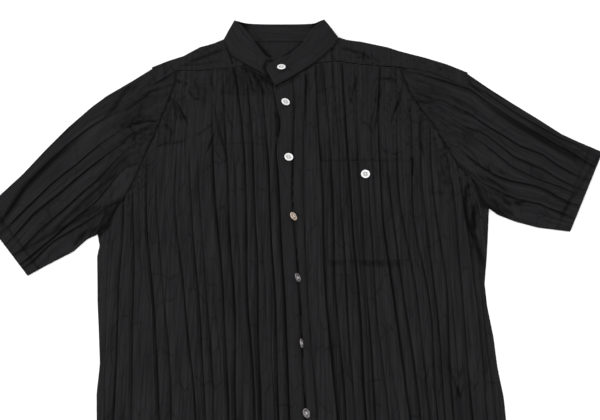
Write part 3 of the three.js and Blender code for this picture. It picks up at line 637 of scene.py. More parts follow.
def crumple(grid, centre, reach, height, length, seed):
    """Soft, uneven crumples round a centre, as where cloth was handled."""
    x, y = grid[..., 0], grid[..., 1]
    near = np.exp(-(((x - centre[0]) / reach[0]) ** 2 + ((y - centre[1]) / reach[1]) ** 2))
    ground = waves(x, y, seed, length) - 0.6 * np.abs(waves(x, y, seed + 1, length * 0.6))
    grid[..., 2] += height * near * ground


def pucker(grid, path, reach, height, seed):
    """Small close puckers beside a seam, where its thread has drawn the cloth in. Their hollows get painted
    shade.
    """
    x, y = grid[..., 0], grid[..., 1]
    near = np.exp(-((distance_to(path, grid)[0] / reach) ** 2))
    rough = waves(x, y, seed, 11.0) + 0.7 * waves(y, x, seed + 3, 7.0)
    grid[..., 2] += height * near * rough
    grid[..., 3] += 0.35 * height * near * np.clip(-rough, 0, 2)


def dress(grid, creases=(), crumples=(), puckers=(), dips=(), shades=()):
    """Works a panel's tables into its grid. A row holds what its function takes after the grid."""
    for work, table in ((press_crease, creases), (crumple, crumples), (pucker, puckers),
                        (dip_at, dips), (shade_along, shades)):
        for row in table:
            work(grid, *row)


FRONT_FLOOR = 3.4  # height of the fronts where they lie lowest
EDGE_FLOOR = 1.1  # and at the side seams
SIDE_SLOPE, BAND_SLOPE = 14, 7  # how far the pleats take to rise from a side seam and from the band
FAR = 99.0


def lay_front(grid, seed, seam, least, fade):
    """Sets a front panel on the back, low at the side seams; its pleats fade towards the yoke seam."""
    x, y = grid[..., 0], grid[..., 1]
    grid[..., 2] *= mix(least, 1.0, smooth((by_x(seam)(x) - y) / fade))
    inward = np.where(y < RIGHT_SIDE[-1][1], x - by_y(RIGHT_SIDE)(y), FAR)
    inward = np.minimum(inward, np.where(y < LEFT_SIDE[-1][1], by_y(LEFT_SIDE)(y) - x, FAR))
    to_band = np.minimum(np.abs(x - band_left(y)), np.abs(x - band_right(y)))
    calm = smooth(inward / SIDE_SLOPE)
    flat = mix(0.25, 1.0, smooth((to_band - 1) / BAND_SLOPE))
    grid[..., 2] *= mix(0.25, 1.0, calm) * flat
    grid[..., 2] += mix(EDGE_FLOOR, FRONT_FLOOR, calm)
    grid[..., 2] += 0.4 * waves(x, y, seed, 90.0) * calm
    grid[..., 2] += 0.16 * waves(x * 2.2, y * 0.7, seed + 1, 26.0) * calm
    grid[..., 2] = np.maximum(grid[..., 2], EDGE_FLOOR)


def follow(line, distance, heights):
    """A path at a distance from a line that is given as X of Y."""
    return [(line(y) + distance, y) for y in heights]

# %% [markdown]
# Each front has its tables of marks: creases, crumples, puckers, seams and shade. The marks are
# placed where the photograph shows them. The left front's tables have the same columns.

# %% Wearer's right front
RIGHT_TOP = RIGHT_ARMHOLE[:-1] + [(-183, 221.7), (-149, 222.7), (-110, 225.7), (-84, 230.7), (-62.8, 219.6),
                                  (-48.5, 209), (-40, 202), (-30, 198)]
# columns of the creases, seams and shades: path, depth or darkness, width
RIGHT_CREASES = [
    ([(-105, 252), (-98, 222), (-88, 178)], 1.0, 1.8),
    ([(-84, 236), (-74, 208), (-66, 180)], 0.9, 1.8),
    ([(-73, 222), (-62, 200), (-52, 182)], 0.8, 1.8),
    ([(-133, 226), (-131, 205), (-124, 180)], 0.8, 1.8),
    ([(-118, 183), (-56, 180)], 0.5, 2.2),
    ([(-115, 176), (-96, 122)], 0.8, 1.8),
    ([(-187, 176), (-178, 138)], 1.1, 1.8),
    ([(-185, 178), (-163, 134)], 1.1, 1.8),
    ([(-200, 138), (-184, 116)], 1.0, 1.8),
    ([(-195, 203), (-180, 205), (-163, 198)], 0.9, 2.4),
    ([(-170, 194), (-148, 194), (-128, 186)], 0.6, 2.6),
    ([(-128, 178), (-119, 125), (-109, 94)], 1.1, 2.0),
    ([(-160, 215), (-150, 190), (-148, 178)], 0.7, 2.0),
    ([(-60, 214), (-47, 196), (-42, 174)], 1.1, 2.0),
    ([(-74, 224), (-58, 200), (-48, 166)], 0.9, 2.0),
    ([(-44, 205), (-38, 190), (-37, 168)], 0.9, 1.8),
    ([(-187, 174), (-178, 154), (-169, 132)], 1.0, 1.4),
    ([(-188, 171), (-192, 145), (-193, 116), (-193, 88)], 1.0, 1.4),
    ([(-182, 169), (-159, 127)], 0.8, 1.4),
    ([(-196, 137), (-185, 123), (-188, 99)], 1.3, 1.4),
    ([(-168, 196), (-156, 176), (-131, 172)], 1.2, 1.8),
    ([(-216, 95), (-192, 102), (-172, 104), (-159, 111)], 1.0, 2.0),
    ([(-135, 84), (-126, 111), (-121, 125)], 1.3, 1.5),
    ([(-107, 101), (-77, 104), (-47, 98)], 0.8, 1.8),
    ([(-122, 154), (-111, 103), (-103, 76)], 1.0, 1.8),
    ([(-153, 111), (-131, 130), (-122, 137)], 0.8, 2.0),
]
# columns: centre, reach, height, length of the waves, seed
RIGHT_CRUMPLES = [((-165, 165), (45, 60), 0.8, 34, 61), ((-190, 60), (40, 40), 0.5, 24, 62),
                  ((-70, 210), (35, 30), 0.6, 20, 63)]
# columns: path, reach, height, seed
RIGHT_PUCKERS = [(RIGHT_ARMHOLE, 26, 0.5, 64),
                 ([(-210, 170), (-150, 190), (-90, 215), (-40, 190)], 30, 0.35, 65)]
RIGHT_DIPS = [(RIGHT_ARMHOLE,), (RIGHT_YOKE_SEAM[2:], 0.4), (follow(band_left, -0.6, BAND[:, 0]), 2.0, 1.9)]
RIGHT_SHADES = [
    (follow(band_left, -1.5, range(110, -470, -40)), 1.2, 3.4),
    (follow(band_left, -1.2, (154, 140, 126, 110)), 2.4, 3.2),
    (follow(band_left, -1.0, (-500, -400, -300, -200, -120, -50, 0)), 0.9, 2.6),
    (follow(band_left, -0.5, (160, 145, 130, 112)), 2.0, 3.0),
    ([(-280, -40), (-270, -26), (-262, -14)], 1.4, 4.5),
    ([(-118, 262), (-96, 240), (-62, 217), (-46, 204), (-36, 196)], 0.6, 4.5),
    ([(-56, 216), (-46, 207), (-37, 198), (-34, 191), (-34, 182)], 1.6, 3.6),
]
right_columns = partial(pleated_columns, all_lines(RIGHT_FRONT_PLEATS, RIGHT_FRONT_FINE),
                        by_y(RIGHT_SIDE), beside(band_left, 5.0))
right_grid = fitted_panel(right_columns, by_x(RIGHT_TOP), FRONT_SHARES)
lay_front(right_grid, 3, RIGHT_YOKE_SEAM, 0.15, 50)
dress(right_grid, RIGHT_CREASES, RIGHT_CRUMPLES, RIGHT_PUCKERS, RIGHT_DIPS, RIGHT_SHADES)
shade_patch(right_grid, (-122, -48), (180.5, 236), 0.3, 7.0)
right_grid[..., 2] = np.maximum(right_grid[..., 2], EDGE_FLOOR)
front_right = cloth_sheet("front_right_cloth", right_grid, CLOTH)

# %% Wearer's left front
LEFT_TOP = [(-8, 212), (7.3, 222), (17.5, 229.5), (22.6, 234.4), (52, 238.7), (86, 233.7), (124, 229.7),
            (148.5, 228.2)] + LEFT_ARMHOLE[:-1][::-1]
LEFT_CREASES = [
    ([(238, 43), (231, 18), (231, -13), (239, -39), (245, -45), (250, -77), (251, -110)], 1.0, 3.2),
    ([(262, 12), (246, 5), (241, -12), (241, -28)], 1.2, 3.0),
    ([(118, 198), (114, 160), (108, 118)], 1.5, 2.0),
    ([(152, 198), (146, 176), (138, 152)], 1.2, 2.2),
    ([(88, 224), (80, 194), (73, 162)], 0.8, 1.8),
    ([(18, 184), (36, 190), (47, 196), (64, 188)], 0.7, 2.0),
    ([(104, 184), (112, 208), (130, 209), (148, 200)], 0.8, 2.4),
    ([(14, 214), (10, 196), (6, 176)], 1.0, 1.8),
    ([(24, 226), (20, 204), (10, 178)], 0.8, 1.8),
    ([(150, 214), (158, 180), (160, 140)], 0.7, 2.0),
    ([(178, 150), (172, 120), (176, 80)], 0.8, 2.0),
    ([(196, 120), (200, 70), (212, 30)], 0.8, 2.2),
    ([(165, 33), (190, 24), (205, 26)], 0.5, 2.4),
    ([(196, -238), (206, -262), (214, -240)], 0.7, 2.0),
    ([(153, 193), (146, 171), (137, 151), (130, 127)], 1.0, 1.6),
    ([(118, 206), (112, 192), (110, 162), (101, 127)], 0.9, 1.6),
    ([(119, 207), (134, 210), (146, 205)], 1.2, 1.8),
    ([(117, 102), (122, 89), (137, 85), (152, 92)], 1.0, 1.8),
    ([(165, 115), (175, 98), (176, 77)], 0.9, 1.8),
    ([(198, 98), (212, 77), (215, 52)], 0.9, 1.6),
    ([(87, 138), (100, 132), (107, 115)], 0.9, 1.6),
    ([(9, 211), (1, 193), (-7, 175)], 1.0, 1.6),
    ([(162, -241), (169, -221), (181, -215)], 1.1, 1.4),
    ([(182, -216), (194, -216), (200, -241), (211, -268)], 1.2, 1.4),
    ([(203, -238), (213, -224)], 1.1, 1.4),
    ([(216, -222), (221, -241), (224, -253), (233, -236)], 0.8, 1.5),
    ([(170, -271), (168, -253), (171, -241)], 0.8, 1.5),
    ([(195, -271), (204, -258), (204, -241)], 0.8, 1.5),
]
LEFT_CRUMPLES = [((140, 135), (50, 50), 0.75, 26, 71), ((210, 40), (30, 50), 0.75, 20, 72),
                 ((215, -250), (40, 40), 0.55, 26, 73)]
LEFT_PUCKERS = [(LEFT_ARMHOLE, 24, 0.5, 74), ([(60, 160), (110, 180), (150, 150), (170, 110)], 28, 0.35, 75)]
LEFT_DIPS = [(LEFT_ARMHOLE,), (LEFT_YOKE_SEAM[:5], 1.4, 2.3), (follow(band_right, 1.0, BAND[:, 0]), 1.8, 1.6)]
LEFT_SHADES = [
    ([(240, 50), (232, 18), (231, -13), (239, -42), (252, -90)], 0.7, 4.5),
    ([(268, 8), (246, 5), (241, -12), (243, -34)], 0.9, 4.5),
    ([(22, 74.5), (90, 75), (164, 76)], 0.5, 1.9),
    ([(30, -77), (45, -80), (140, -80), (156, -76)], 0.7, 1.8),
    ([(160.5, 82), (160, 70), (158, 50)], 1.5, 2.4),
    ([(6, 222), (-14, 207), (-33, 195)], 0.9, 5.0),
]
left_columns = partial(pleated_columns, all_lines(LEFT_FRONT_PLEATS, LEFT_FRONT_FINE),
                       beside(band_right, -1.0), by_y(LEFT_SIDE))
lay_left_front = partial(lay_front, seed=11, seam=LEFT_YOKE_SEAM, least=0.6, fade=16)
left_grid = fitted_panel(left_columns, by_x(LEFT_TOP), FRONT_SHARES)
lay_left_front(left_grid)
dress(left_grid, LEFT_CREASES, LEFT_CRUMPLES, LEFT_PUCKERS, LEFT_DIPS, LEFT_SHADES)
left_grid[..., 2] = np.maximum(left_grid[..., 2], EDGE_FLOOR)
front_left = cloth_sheet("front_left_cloth", left_grid, CLOTH)

# %% [markdown]
# Stitches lie on the cloth, so they need its height. A ray sent down from above finds it.

# %% Height of the top surface at a plan point, by a ray from above
ABOVE_ALL = 0.2  # metres; every ray starts here


def surface_tree(*pieces):
    """Search tree over pieces, for finding the height of what lies on top."""
    vertices, faces = [], []
    for piece in pieces:
        start = len(vertices)
        vertices += [v.co.copy() for v in piece.data.vertices]
        faces += [[start + k for k in p.vertices] for p in piece.data.polygons]
    return BVHTree.FromPolygons(vertices, faces)


def top_at(tree, x, y, otherwise=0.0):
    """Height in mm of the highest surface over the layout point (x, y), or otherwise if none is there."""
    spot = Vector(metres([x, y, 0.0]))
    spot.z = ABOVE_ALL
    found = tree.ray_cast(spot, Vector((0, 0, -1)))[0]
    return otherwise if found is None else found.z / MM

# %% [markdown]
# The chest pocket is a patch cut from the same pleated cloth, and its pleats line up with the
# front's. So it is made from the front's own points: the part of the grid inside the
# pocket's outline, moved out, with its edges turned under and pulled down by the stitches.

# %% Chest pocket
POCKET = {"left": [(37, -76), (27, 72)], "right": [(149, -77), (159, 75)], "low": -76.5, "high": 73.5}
POCKET_LIFT = 0.75
POCKET_ROWS = 58
POCKET_INSIDE = (33, 153)  # X at mid height between which the front's columns are kept
POCKET_HEM = 26  # depth of the turned hem at the mouth


def pocket_grid():
    """The front's columns inside the pocket's outline, with one more along each side."""
    sheet = []
    for y in mix(POCKET["low"], POCKET["high"], np.arange(POCKET_ROWS) / (POCKET_ROWS - 1)):
        xs, zs = left_columns(np.full(1, y))
        sheet.append(np.stack([xs[:, 0], np.full(len(xs), y), zs[:, 0]], axis=1))
    middle = sheet[POCKET_ROWS // 2][:, 0]
    keep = (middle > POCKET_INSIDE[0]) & (middle < POCKET_INSIDE[1])
    grid = []
    for row in sheet:
        y, inner = row[0, 1], row[keep]
        low_x, high_x = pocket_left(y), pocket_right(y)
        inner[:, 0] = np.clip(inner[:, 0], low_x + 0.4, high_x - 0.4)
        grid.append(np.vstack([[low_x, y, inner[0, 2]], inner, [high_x, y, inner[-1, 2]]]))
    return with_line(grid)


pocket_left, pocket_right = by_y(POCKET["left"]), by_y(POCKET["right"])
pocket_points = pocket_grid()
lay_left_front(pocket_points)
dress(pocket_points, LEFT_CREASES, LEFT_CRUMPLES[:1])
px, py = pocket_points[..., 0], pocket_points[..., 1]
inside = np.minimum(px - pocket_left(py), pocket_right(py) - px)
inside = np.minimum(inside, py - POCKET["low"])
pocket_points[..., 2] += POCKET_LIFT * mix(0.4, 1.0, smooth(inside / 4))
pocket_points[..., 2] += 0.2 * smooth((POCKET_HEM - (POCKET["high"] - py)) / 2.0)
pocket_shade = openness(pocket_points)
pocket_shade[-1] *= 0.3  # painted shade along the mouth's edge
pocket = cloth_sheet("pocket_cloth", pocket_points, CLOTH, shade=pocket_shade)

# %% [markdown]
# The two bands. The button band lies flat underneath. The buttonhole band lies on it, and the
# weight of the pleats has pressed a sharp crease down through its buttonholes, so its narrow right
# part stands up a little and the lower buttons sit tipped in the fold.

# %% Button band and buttonhole band
BAND_TOP = by_x([(-50, 186), (-41, 189), (-33.8, 193), (-17.7, 204.6), (0, 216.6), (7.2, 222), (12, 226)])
UNDER_TOP = by_x([(-50, 196), (-33, 199.5), (-20, 200.8), (-4, 208.5), (6, 217.5), (12, 222)])
BAND_ROWS = 230
BAND_FLOOR, UNDER_FLOOR = 5.0, 3.1
NEAR_HEM = np.array(-475.0)
# columns: millimetres across from the crease, height in millimetres
CREASE_FOLD = [(-3.2, -0.3), (-2.0, -1.0), (-1.2, -1.7), (-0.2, -1.8), (0.5, -0.9), (0.5, 0.4),
               (0.8, 1.3), (2.0, 1.6)]


def band_grid(places, upper_edge, rows=BAND_ROWS):
    """Grid between the hem and an upper edge; places lists (x of y, lift of y) for each column."""
    columns = []
    for place, lift in places:
        over = np.nonzero(TALL > upper_edge(place(TALL)))[0]
        top = TALL[over[0]] if len(over) else TALL[-1]
        y = np.linspace(hem_y(place(NEAR_HEM)), top, rows)
        for _ in range(3):
            y = np.linspace(y[0], upper_edge(place(y[-1])), rows)
        columns.append(np.stack([place(y), y, lift(y)], axis=1))
    return with_line(np.swapaxes(np.array(columns), 0, 1))


def level(height):
    return lambda y: height + 0.0 * y


def crease_strength(y):
    return mix(0.3, 1.0, smooth((110 - y) / 70)) * smooth((178 - y) / 22)


band_places = [(band_left, level(-0.35))]
for t in (0.03, 0.1, 0.25, 0.45, 0.62, 0.78, 0.9):
    band_places.append((between(band_left, beside(band_crease, -3.2), t),
                        level(0.55 * math.sin(math.pi * t) * (1 - 0.3 * t))))
for across, share in CREASE_FOLD:
    band_places.append((beside(band_crease, across * 0.8), lambda y, s=share: s * crease_strength(y)))
for t in (0.25, 0.5, 0.75, 0.93):
    band_places.append((between(beside(band_crease, 2.0), band_right, t),
                        lambda y, t=t: mix(1.6, 0.2, t ** 1.4) * crease_strength(y) + 0.1 * (1 - t)))
band_places.append((band_right, level(-0.4)))
band_points = band_grid(band_places, BAND_TOP)
bx, by = band_points[..., 0], band_points[..., 1]
band_points[..., 2] += BAND_FLOOR + 0.3 * waves(bx, by, 21, 60.0) + 0.1 * waves(bx, by, 22, 17.0)
dress(
    band_points,
    creases=[([(-6, 186), (-2, 160), (4, 150)], 0.5, 2.0), ([(-36, 170), (-28, 160), (-22, 150)], 0.5, 2.0),
             ([(-30, 60), (-22, 40), (-14, 30)], 0.4, 2.0)],
    crumples=[((-14, 130), (22, 45), 0.3, 11, 81), ((-10, 20), (22, 50), 0.3, 13, 83)],
    shades=[(follow(band_crease, -0.8, (260, 180, 100, 60, 20, -40, -120, -220, -330, -440)), 0.8, 2.0),
            ([(-46, 203), (-33, 193), (-14, 206), (2, 217)], 0.8, 4.5)],
)
buttonhole_band = cloth_sheet("buttonhole_band_cloth", band_points, PLAIN, thick=1.0)

under_left, under_right = beside(band_left, 1.0), beside(band_right, -1.0)
under_places = [(under_left, level(0.0))]
under_places += [(between(under_left, under_right, t), level(0.15)) for t in (0.1, 0.3, 0.5, 0.7, 0.9)]
under_places.append((under_right, level(0.0)))
under_points = band_grid(under_places, UNDER_TOP, rows=120)
under_points[..., 2] += UNDER_FLOOR
cloth_sheet("button_band_cloth", under_points, PLAIN, thick=0.8)

# %% [markdown]
# The back hides under the front, and shows only along its edges and from below. It is the same
# pleated cloth, with its pleats evenly pressed and flat against the table.

# %% Back
BACK_PLEATS = 24
BACK_ROWS = 90
BACK_FLOOR = 0.45
# columns: millimetres across from the middle of a pleat, height
BACK_FOLD = [(-2.6, 0.0), (-1.2, 0.35), (0.0, 0.7), (1.2, 0.35), (2.6, 0.0), (7.0, 0.0), (14.0, 0.0)]
BACK_TOP = (RIGHT_ARMHOLE[:9] + [(-192.9, BACK_YOKE_SEAM - 0.3), (167.9, BACK_YOKE_SEAM - 0.3)]
            + LEFT_ARMHOLE[:9][::-1])


def back_columns(y):
    left, right = by_y(RIGHT_SIDE)(y), by_y(LEFT_SIDE)(y)
    xs, zs = [left, left + 2.0], [0 * y, 0 * y]
    for i in range(BACK_PLEATS):
        middle = mix(left, right, (i + 0.8) / (BACK_PLEATS + 0.6))
        xs += [middle + across for across, _ in BACK_FOLD]
        zs += [height + 0 * y for _, height in BACK_FOLD]
    return np.minimum(np.array([*xs, right]), right), np.array([*zs, 0 * y])


back_grid = fitted_panel(back_columns, by_x(BACK_TOP), np.linspace(0, 1, BACK_ROWS))
back_grid[..., 2] += BACK_FLOOR
cloth_sheet("back_cloth", back_grid, CLOTH)

# %% [markdown]
# The yoke is one plain piece. It lies under the neck and shoulders, folds over each shoulder
# and comes a short way down the front, where the pleated fronts are sewn to it. Each column
# of its grid starts at the front seam, goes up over the fold and back underneath.

# %% Yoke
YOKE_TOP, YOKE_UNDER = 3.9, 0.4
YOKE_REACH = 1.6
YOKE_THICK = 0.4
YOKE_STEP = 1.5
FRONT_ROWS, FOLD_ROWS, UNDER_ROWS = 20, 7, 12
COLLAR_REACH = 15  # the collar's fold holds the yoke up as far as this


def yoke_grid(x_values, seam, fold, back_edge, neck, seed, creases):
    """Columns over one shoulder: front strip, rounded fold, then the layer underneath."""
    half = (YOKE_TOP - YOKE_UNDER) / 2
    columns = []
    for x in x_values:
        y0, y1, y2 = seam(x), fold(x), back_edge(x)
        column = [(x, mix(y0, y1 - 0.6, t), YOKE_TOP) for t in np.linspace(0, 1, FRONT_ROWS)]
        for k in range(1, FOLD_ROWS + 1):
            turn = math.pi * k / (FOLD_ROWS + 1)
            column.append((x, y1 + YOKE_REACH * math.sin(turn), YOKE_UNDER + half + half * math.cos(turn)))
        column += [(x, mix(y1 - 0.6, y2, t), YOKE_UNDER) for t in np.linspace(0, 1, UNDER_ROWS)]
        columns.append(column)
    grid = with_line(np.swapaxes(np.array(columns), 0, 1))
    top, strip = grid[:FRONT_ROWS + 3], grid[:FRONT_ROWS]
    x, y = top[..., 0], top[..., 1]
    share = np.clip(np.arange(len(top)) / (FRONT_ROWS - 1), 0, 1)[:, None]
    top[..., 2] += 0.5 * waves(x, y, seed, 30.0) * np.sin(math.pi * share) + 0.3 * (share - 1)
    top[..., 2] += 3.2 * np.exp(-(np.hypot(x - neck[0], y - neck[1]) / COLLAR_REACH) ** 2)
    above_seam = [(end, seam(end) + 18) for end in (x_values[0], x_values[-1])]
    dress(strip, creases, puckers=[(above_seam, 40, 0.3, seed + 5)])
    return grid


def spread(*places):
    """Sorted X values that include every given place and enough others between them."""
    fine = []
    for a, b in zip(places[:-1], places[1:]):
        fine += list(np.linspace(a, b, max(2, int((b - a) / YOKE_STEP) + 1), endpoint=False))
    return np.array([*fine, float(places[-1])])


right_x = spread(-220.5, -196, -183, -149, -118, -108, -84)
left_x = spread(22, 52, 61, 86, 124, 148.5, 195, 224, 249)
right_seam = by_x([(-221, 196)] + RIGHT_YOKE_SEAM)
left_seam = by_x([(22, 235), (52, 239), (61, 237.9), (86, 234), (124, 230), (148.5, 228.5), (195, 220),
                  (224, 206), (250, 190.6)])
right_fold = by_x(RIGHT_SHOULDER[:-1] + [(-118, 272), (-108, 276), (-103, 263), (-95, 251), (-84, 240)])
left_fold = by_x([(22, 243), (33, 251), (43, 262), (50, 279), (61, 276)] + LEFT_SHOULDER[1:])
right_back_edge = by_x([(-221, 196), (-218, 198), (-196, 210), (-193, BACK_YOKE_SEAM), (-84, BACK_YOKE_SEAM)])
left_back_edge = by_x([(22, BACK_YOKE_SEAM), (168, BACK_YOKE_SEAM), (171, 226), (195, 220), (224, 206),
                       (250, 190.6)])
YOKE_RIGHT_CREASES = [
    ([(-172, 234), (-134, 250), (-108, 261)], 1.5, 3.0), ([(-205, 216), (-190, 228)], 0.5, 2.0),
    ([(-152, 246), (-136, 262), (-124, 266)], 0.8, 2.4), ([(-109, 266), (-104, 246), (-99, 228)], 1.3, 1.9),
    ([(-186, 229), (-140, 234), (-108, 241)], 0.9, 2.4),
]
YOKE_LEFT_CREASES = [
    ([(48, 234), (48, 250), (47, 268)], 1.2, 1.4), ([(30, 256), (42, 258), (56, 260)], 1.0, 1.4),
    ([(58, 262), (82, 255), (112, 243)], 1.5, 3.0), ([(94, 234), (98, 266)], 0.9, 1.8),
    ([(118, 232), (112, 244), (104, 252)], 0.7, 1.8), ([(64, 246), (90, 244), (118, 240)], 0.5, 2.4),
    ([(200, 224), (216, 226), (232, 216)], 0.6, 2.2), ([(150, 236), (170, 240), (196, 232)], 0.5, 2.2),
]
right_part = yoke_grid(right_x, right_seam, right_fold, right_back_edge, (-110, 273), 31, YOKE_RIGHT_CREASES)
left_part = yoke_grid(left_x, left_seam, left_fold, left_back_edge, (55, 276), 32, YOKE_LEFT_CREASES)
yoke_right = cloth_sheet("yoke_right_shoulder", right_part[:, ::-1], PLAIN, YOKE_THICK)
yoke_left = cloth_sheet("yoke_left_shoulder", left_part[:, ::-1], PLAIN, YOKE_THICK)

# the part between the shoulders, seen through the neck
centre = with_line([[(x, y, 1.15) for x in np.linspace(-116, 60, 96)]
                    for y in np.linspace(BACK_YOKE_SEAM, NECK_BACK + 3.5, 44)])
centre[..., 2] += 0.3 * waves(centre[..., 0], centre[..., 1], 35, 30.0)
dress(
    centre,
    creases=[([(-10, 262), (-20, 248), (-14, 236)], 0.6, 2.0),
             ([(-64, 262), (-40, 255), (-20, 258)], 0.5, 2.2), ([(10, 262), (-2, 256)], 0.5, 2.0)],
    # the standing collar shades what it leans over, seen along its two inner edges
    shades=[([(-93, 306), (-77, 287), (-68, 275), (-60, 264), (-50, 251), (-38, 243)], 1.2, 3.2),
            ([(30, 306), (13, 288), (5, 275), (-5, 264), (-16, 254), (-30, 245)], 0.7, 2.6)],
)
cloth_sheet("yoke_centre", centre, PLAIN, YOKE_THICK)

# %% [markdown]
# A sleeve is a tube of pleated cloth, pressed flat. Its plan is a patch between four edges: the
# armhole, the fold that runs on from the shoulder, the underarm seam and the hem. The
# patch is filled by the rule that blends opposite edges, and each ring of the tube
# crosses it once on top, where the pleats are, and comes back once underneath.

# %% The shape of a sleeve
RIGHT_SLEEVE_TOP = RIGHT_SHOULDER[2::-1] + [(-248, 206), (-285, 180), (-305, 162), (-336, 129), (-365, 93),
                                            (-394, 54), (-423, 21), (SLEEVE_CORNER_X, -6)]
LEFT_SLEEVE_TOP = LEFT_SHOULDER[4:] + [(279, 193), (313, 167), (347, 142), (378, 118), (398, 107), (434, 89)]
RIGHT_UNDERARM = [(-280, -37), (-295, -45), (-311, -62), (-349, -84), (-370, -97)]
LEFT_UNDERARM = [(264.5, 2), (276, -8), (299, -18), (330, -27), (374, -33)]
# each pleat: the points that it passes on its way from the armhole to the hem, and its depth
RIGHT_SLEEVE_PLEATS = [
    ([(-275, 148), (-309, 124), (-354, 79), (-388, 37), (-417, -22)], 2.4),
    ([(-264, 119), (-282, 106), (-320, 69), (-350, 40), (-380, 5), (-406, -27)], 1.7),
    ([(-249, 109), (-272, 90), (-304, 61), (-338, 24), (-372, -8), (-403, -49)], 2.2),
    ([(-243, 98), (-263, 77), (-287, 44), (-325, 5), (-361, -31), (-385, -62)], 1.7),
    ([(-248, 65), (-261, 48), (-285, 12), (-312, -12), (-337, -37), (-358, -59), (-378, -78)], 2.4),
    ([(-250, 11), (-280, -5), (-307, -24), (-341, -49), (-374, -84)], 1.6),
]
LEFT_SLEEVE_PLEATS = [
    ([(240, 205), (277, 183), (321, 148), (361, 122), (397, 101), (428, 80)], 1.2),
    ([(149, 229), (201, 217), (250, 192), (276, 170), (309, 143), (345, 117), (381, 92), (416, 67)], 2.4),
    ([(206, 170), (240, 155), (258, 143), (291, 117), (317, 98), (349, 84), (378, 62), (399, 48)], 2.1),
    ([(209, 155), (234, 133), (272, 113), (307, 81), (347, 62), (382, 38), (396, 30)], 1.6),
    ([(241, 117), (270, 96), (302, 67), (338, 46), (367, 34), (388, 23)], 1.3),
    ([(228, 96), (257, 67), (275, 54), (300, 44), (330, 36), (351, 27), (380, 10)], 2.3),
    ([(227, 71), (255, 42), (284, 25), (305, 15), (335, 9), (363, -3), (384, -14)], 1.8),
]
SLEEVE_BACK_PLEATS = [0.12, 0.27, 0.42, 0.57, 0.72, 0.87]
SLEEVE_BACK_FOLD = [(2.6, 0), (1.2, 0.35), (0, 0.7), (-1.2, 0.35), (-2.6, 0), (-9, 0)]
SLEEVE_FLOOR, SLEEVE_EDGE, SLEEVE_UNDER = 3.2, 2.7, 0.45
SLEEVE_ROWS = 90
SLEEVE_HEM = 17.5  # from the edge to the line where the hem is sewn
HEM_PRESS = 17.0  # the sewn hem presses the pleats flat over about this much
ROUND_TOP, ROUND_UNDER = 0.7, 1.2  # how far the tube's edges are round, on top and underneath
LAST_PLEAT, PLEAT_GAP = 0.965, 0.035  # shares of the width
YOKE_GAP = (1.0, 2.6)  # heights between the two layers of the yoke


def sleeve_plan(fold, underarm, armhole):
    """The sleeve's patch: layout point at share t from fold to underarm and v from armhole to hem."""
    top, under = along(fold), along(underarm)
    root = along([fold[0]] + armhole[::-1][1:])
    hem = along([fold[-1], underarm[-1]])

    def plan(t, v):
        t, v = np.asarray(t, float)[..., None], np.asarray(v, float)[..., None]
        corners = ((1 - t) * (1 - v) * np.array(fold[0]) + t * (1 - v) * np.array(underarm[0])
                   + (1 - t) * v * np.array(fold[-1]) + t * v * np.array(underarm[-1]))
        return ((1 - v) * root(t[..., 0]) + v * hem(t[..., 0])
                + (1 - t) * top(v[..., 0]) + t * under(v[..., 0]) - corners)

    return plan


def lines_on_patch(pleats, plan):
    """Each pleat's share t at any v: its points are found again on a fine net over the patch."""
    t, v = np.meshgrid(np.linspace(0.02, 0.98, 161), np.linspace(0, 1, 161))
    net = plan(t, v)
    lines = []
    for path, depth in pleats:
        nearest = [np.argmin(np.linalg.norm(net - np.array(point), axis=-1)) for point in path]
        found = np.array(sorted((v.flat[k], t.flat[k]) for k in nearest))
        lines.append((found, depth, max(found[0, 0], 0.06)))
    return sorted(lines, key=lambda line: np.interp(0.7, line[0][:, 0], line[0][:, 1]))


def sleeve_row(plan, lines, v, length):
    """One ring of the flattened tube, and the number of its points that lie on top.

    It goes from the fold over the pleated top to the underarm edge, and back underneath."""
    ends = plan([0.0, 1.0], [v, v])
    width = float(np.linalg.norm(ends[1] - ends[0]))
    count = len(lines)
    places = [np.interp(v, found[:, 0], found[:, 1]) + 0.004 * math.sin(11 * v + 2 * i)
              for i, (found, _, _) in enumerate(lines)]
    for i in range(1, count):
        places[i] = max(places[i], places[i - 1] + PLEAT_GAP)
    for i in range(count):
        places[i] = min(places[i], LAST_PLEAT - PLEAT_GAP * (count - 1 - i))
    at_hem = mix(0.3, 1.0, smooth((1 - v) * length / HEM_PRESS - 0.75))
    depths = [0.88 * depth * smooth((v - start + 0.05) / 0.28) * (1 + 0.15 * math.sin(9 * v + i)) * at_hem
              for i, (_, depth, start) in enumerate(lines)]
    folds = [(None, None, -1, True)] * count
    xs, zs = folded_row(folds, np.array(places) * width, np.array(depths), np.array(0.0), np.array(width))
    ts = xs[1:-1] / width

    def point(t, height):
        return (*plan(t, v), height)

    row = [(*ends[0], 1.7), point(ROUND_TOP / width, SLEEVE_EDGE)]
    row += [(*p, SLEEVE_FLOOR + z) for p, z in zip(plan(ts, np.full(len(ts), v)), zs[1:-1])]
    row += [point(1 - ROUND_TOP / width, 2.6), (*ends[1], 1.6), point(1 - ROUND_UNDER / width, SLEEVE_UNDER)]
    row += [point(t + across / width, SLEEVE_UNDER + lift)
            for t in SLEEVE_BACK_PLEATS[::-1] for across, lift in SLEEVE_BACK_FOLD]
    row.append(point(ROUND_UNDER / width, SLEEVE_UNDER))
    return row, len(ts) + 2


def sleeve_uv(grid):
    """Millimetres round the tube and along it, so the weave follows the sleeve."""
    across, length = run_of(grid[-1, :, :2]), run_of(grid[:, 40, :2])
    return np.stack(np.broadcast_arrays(across[None, :], length[:, None]), axis=-1)


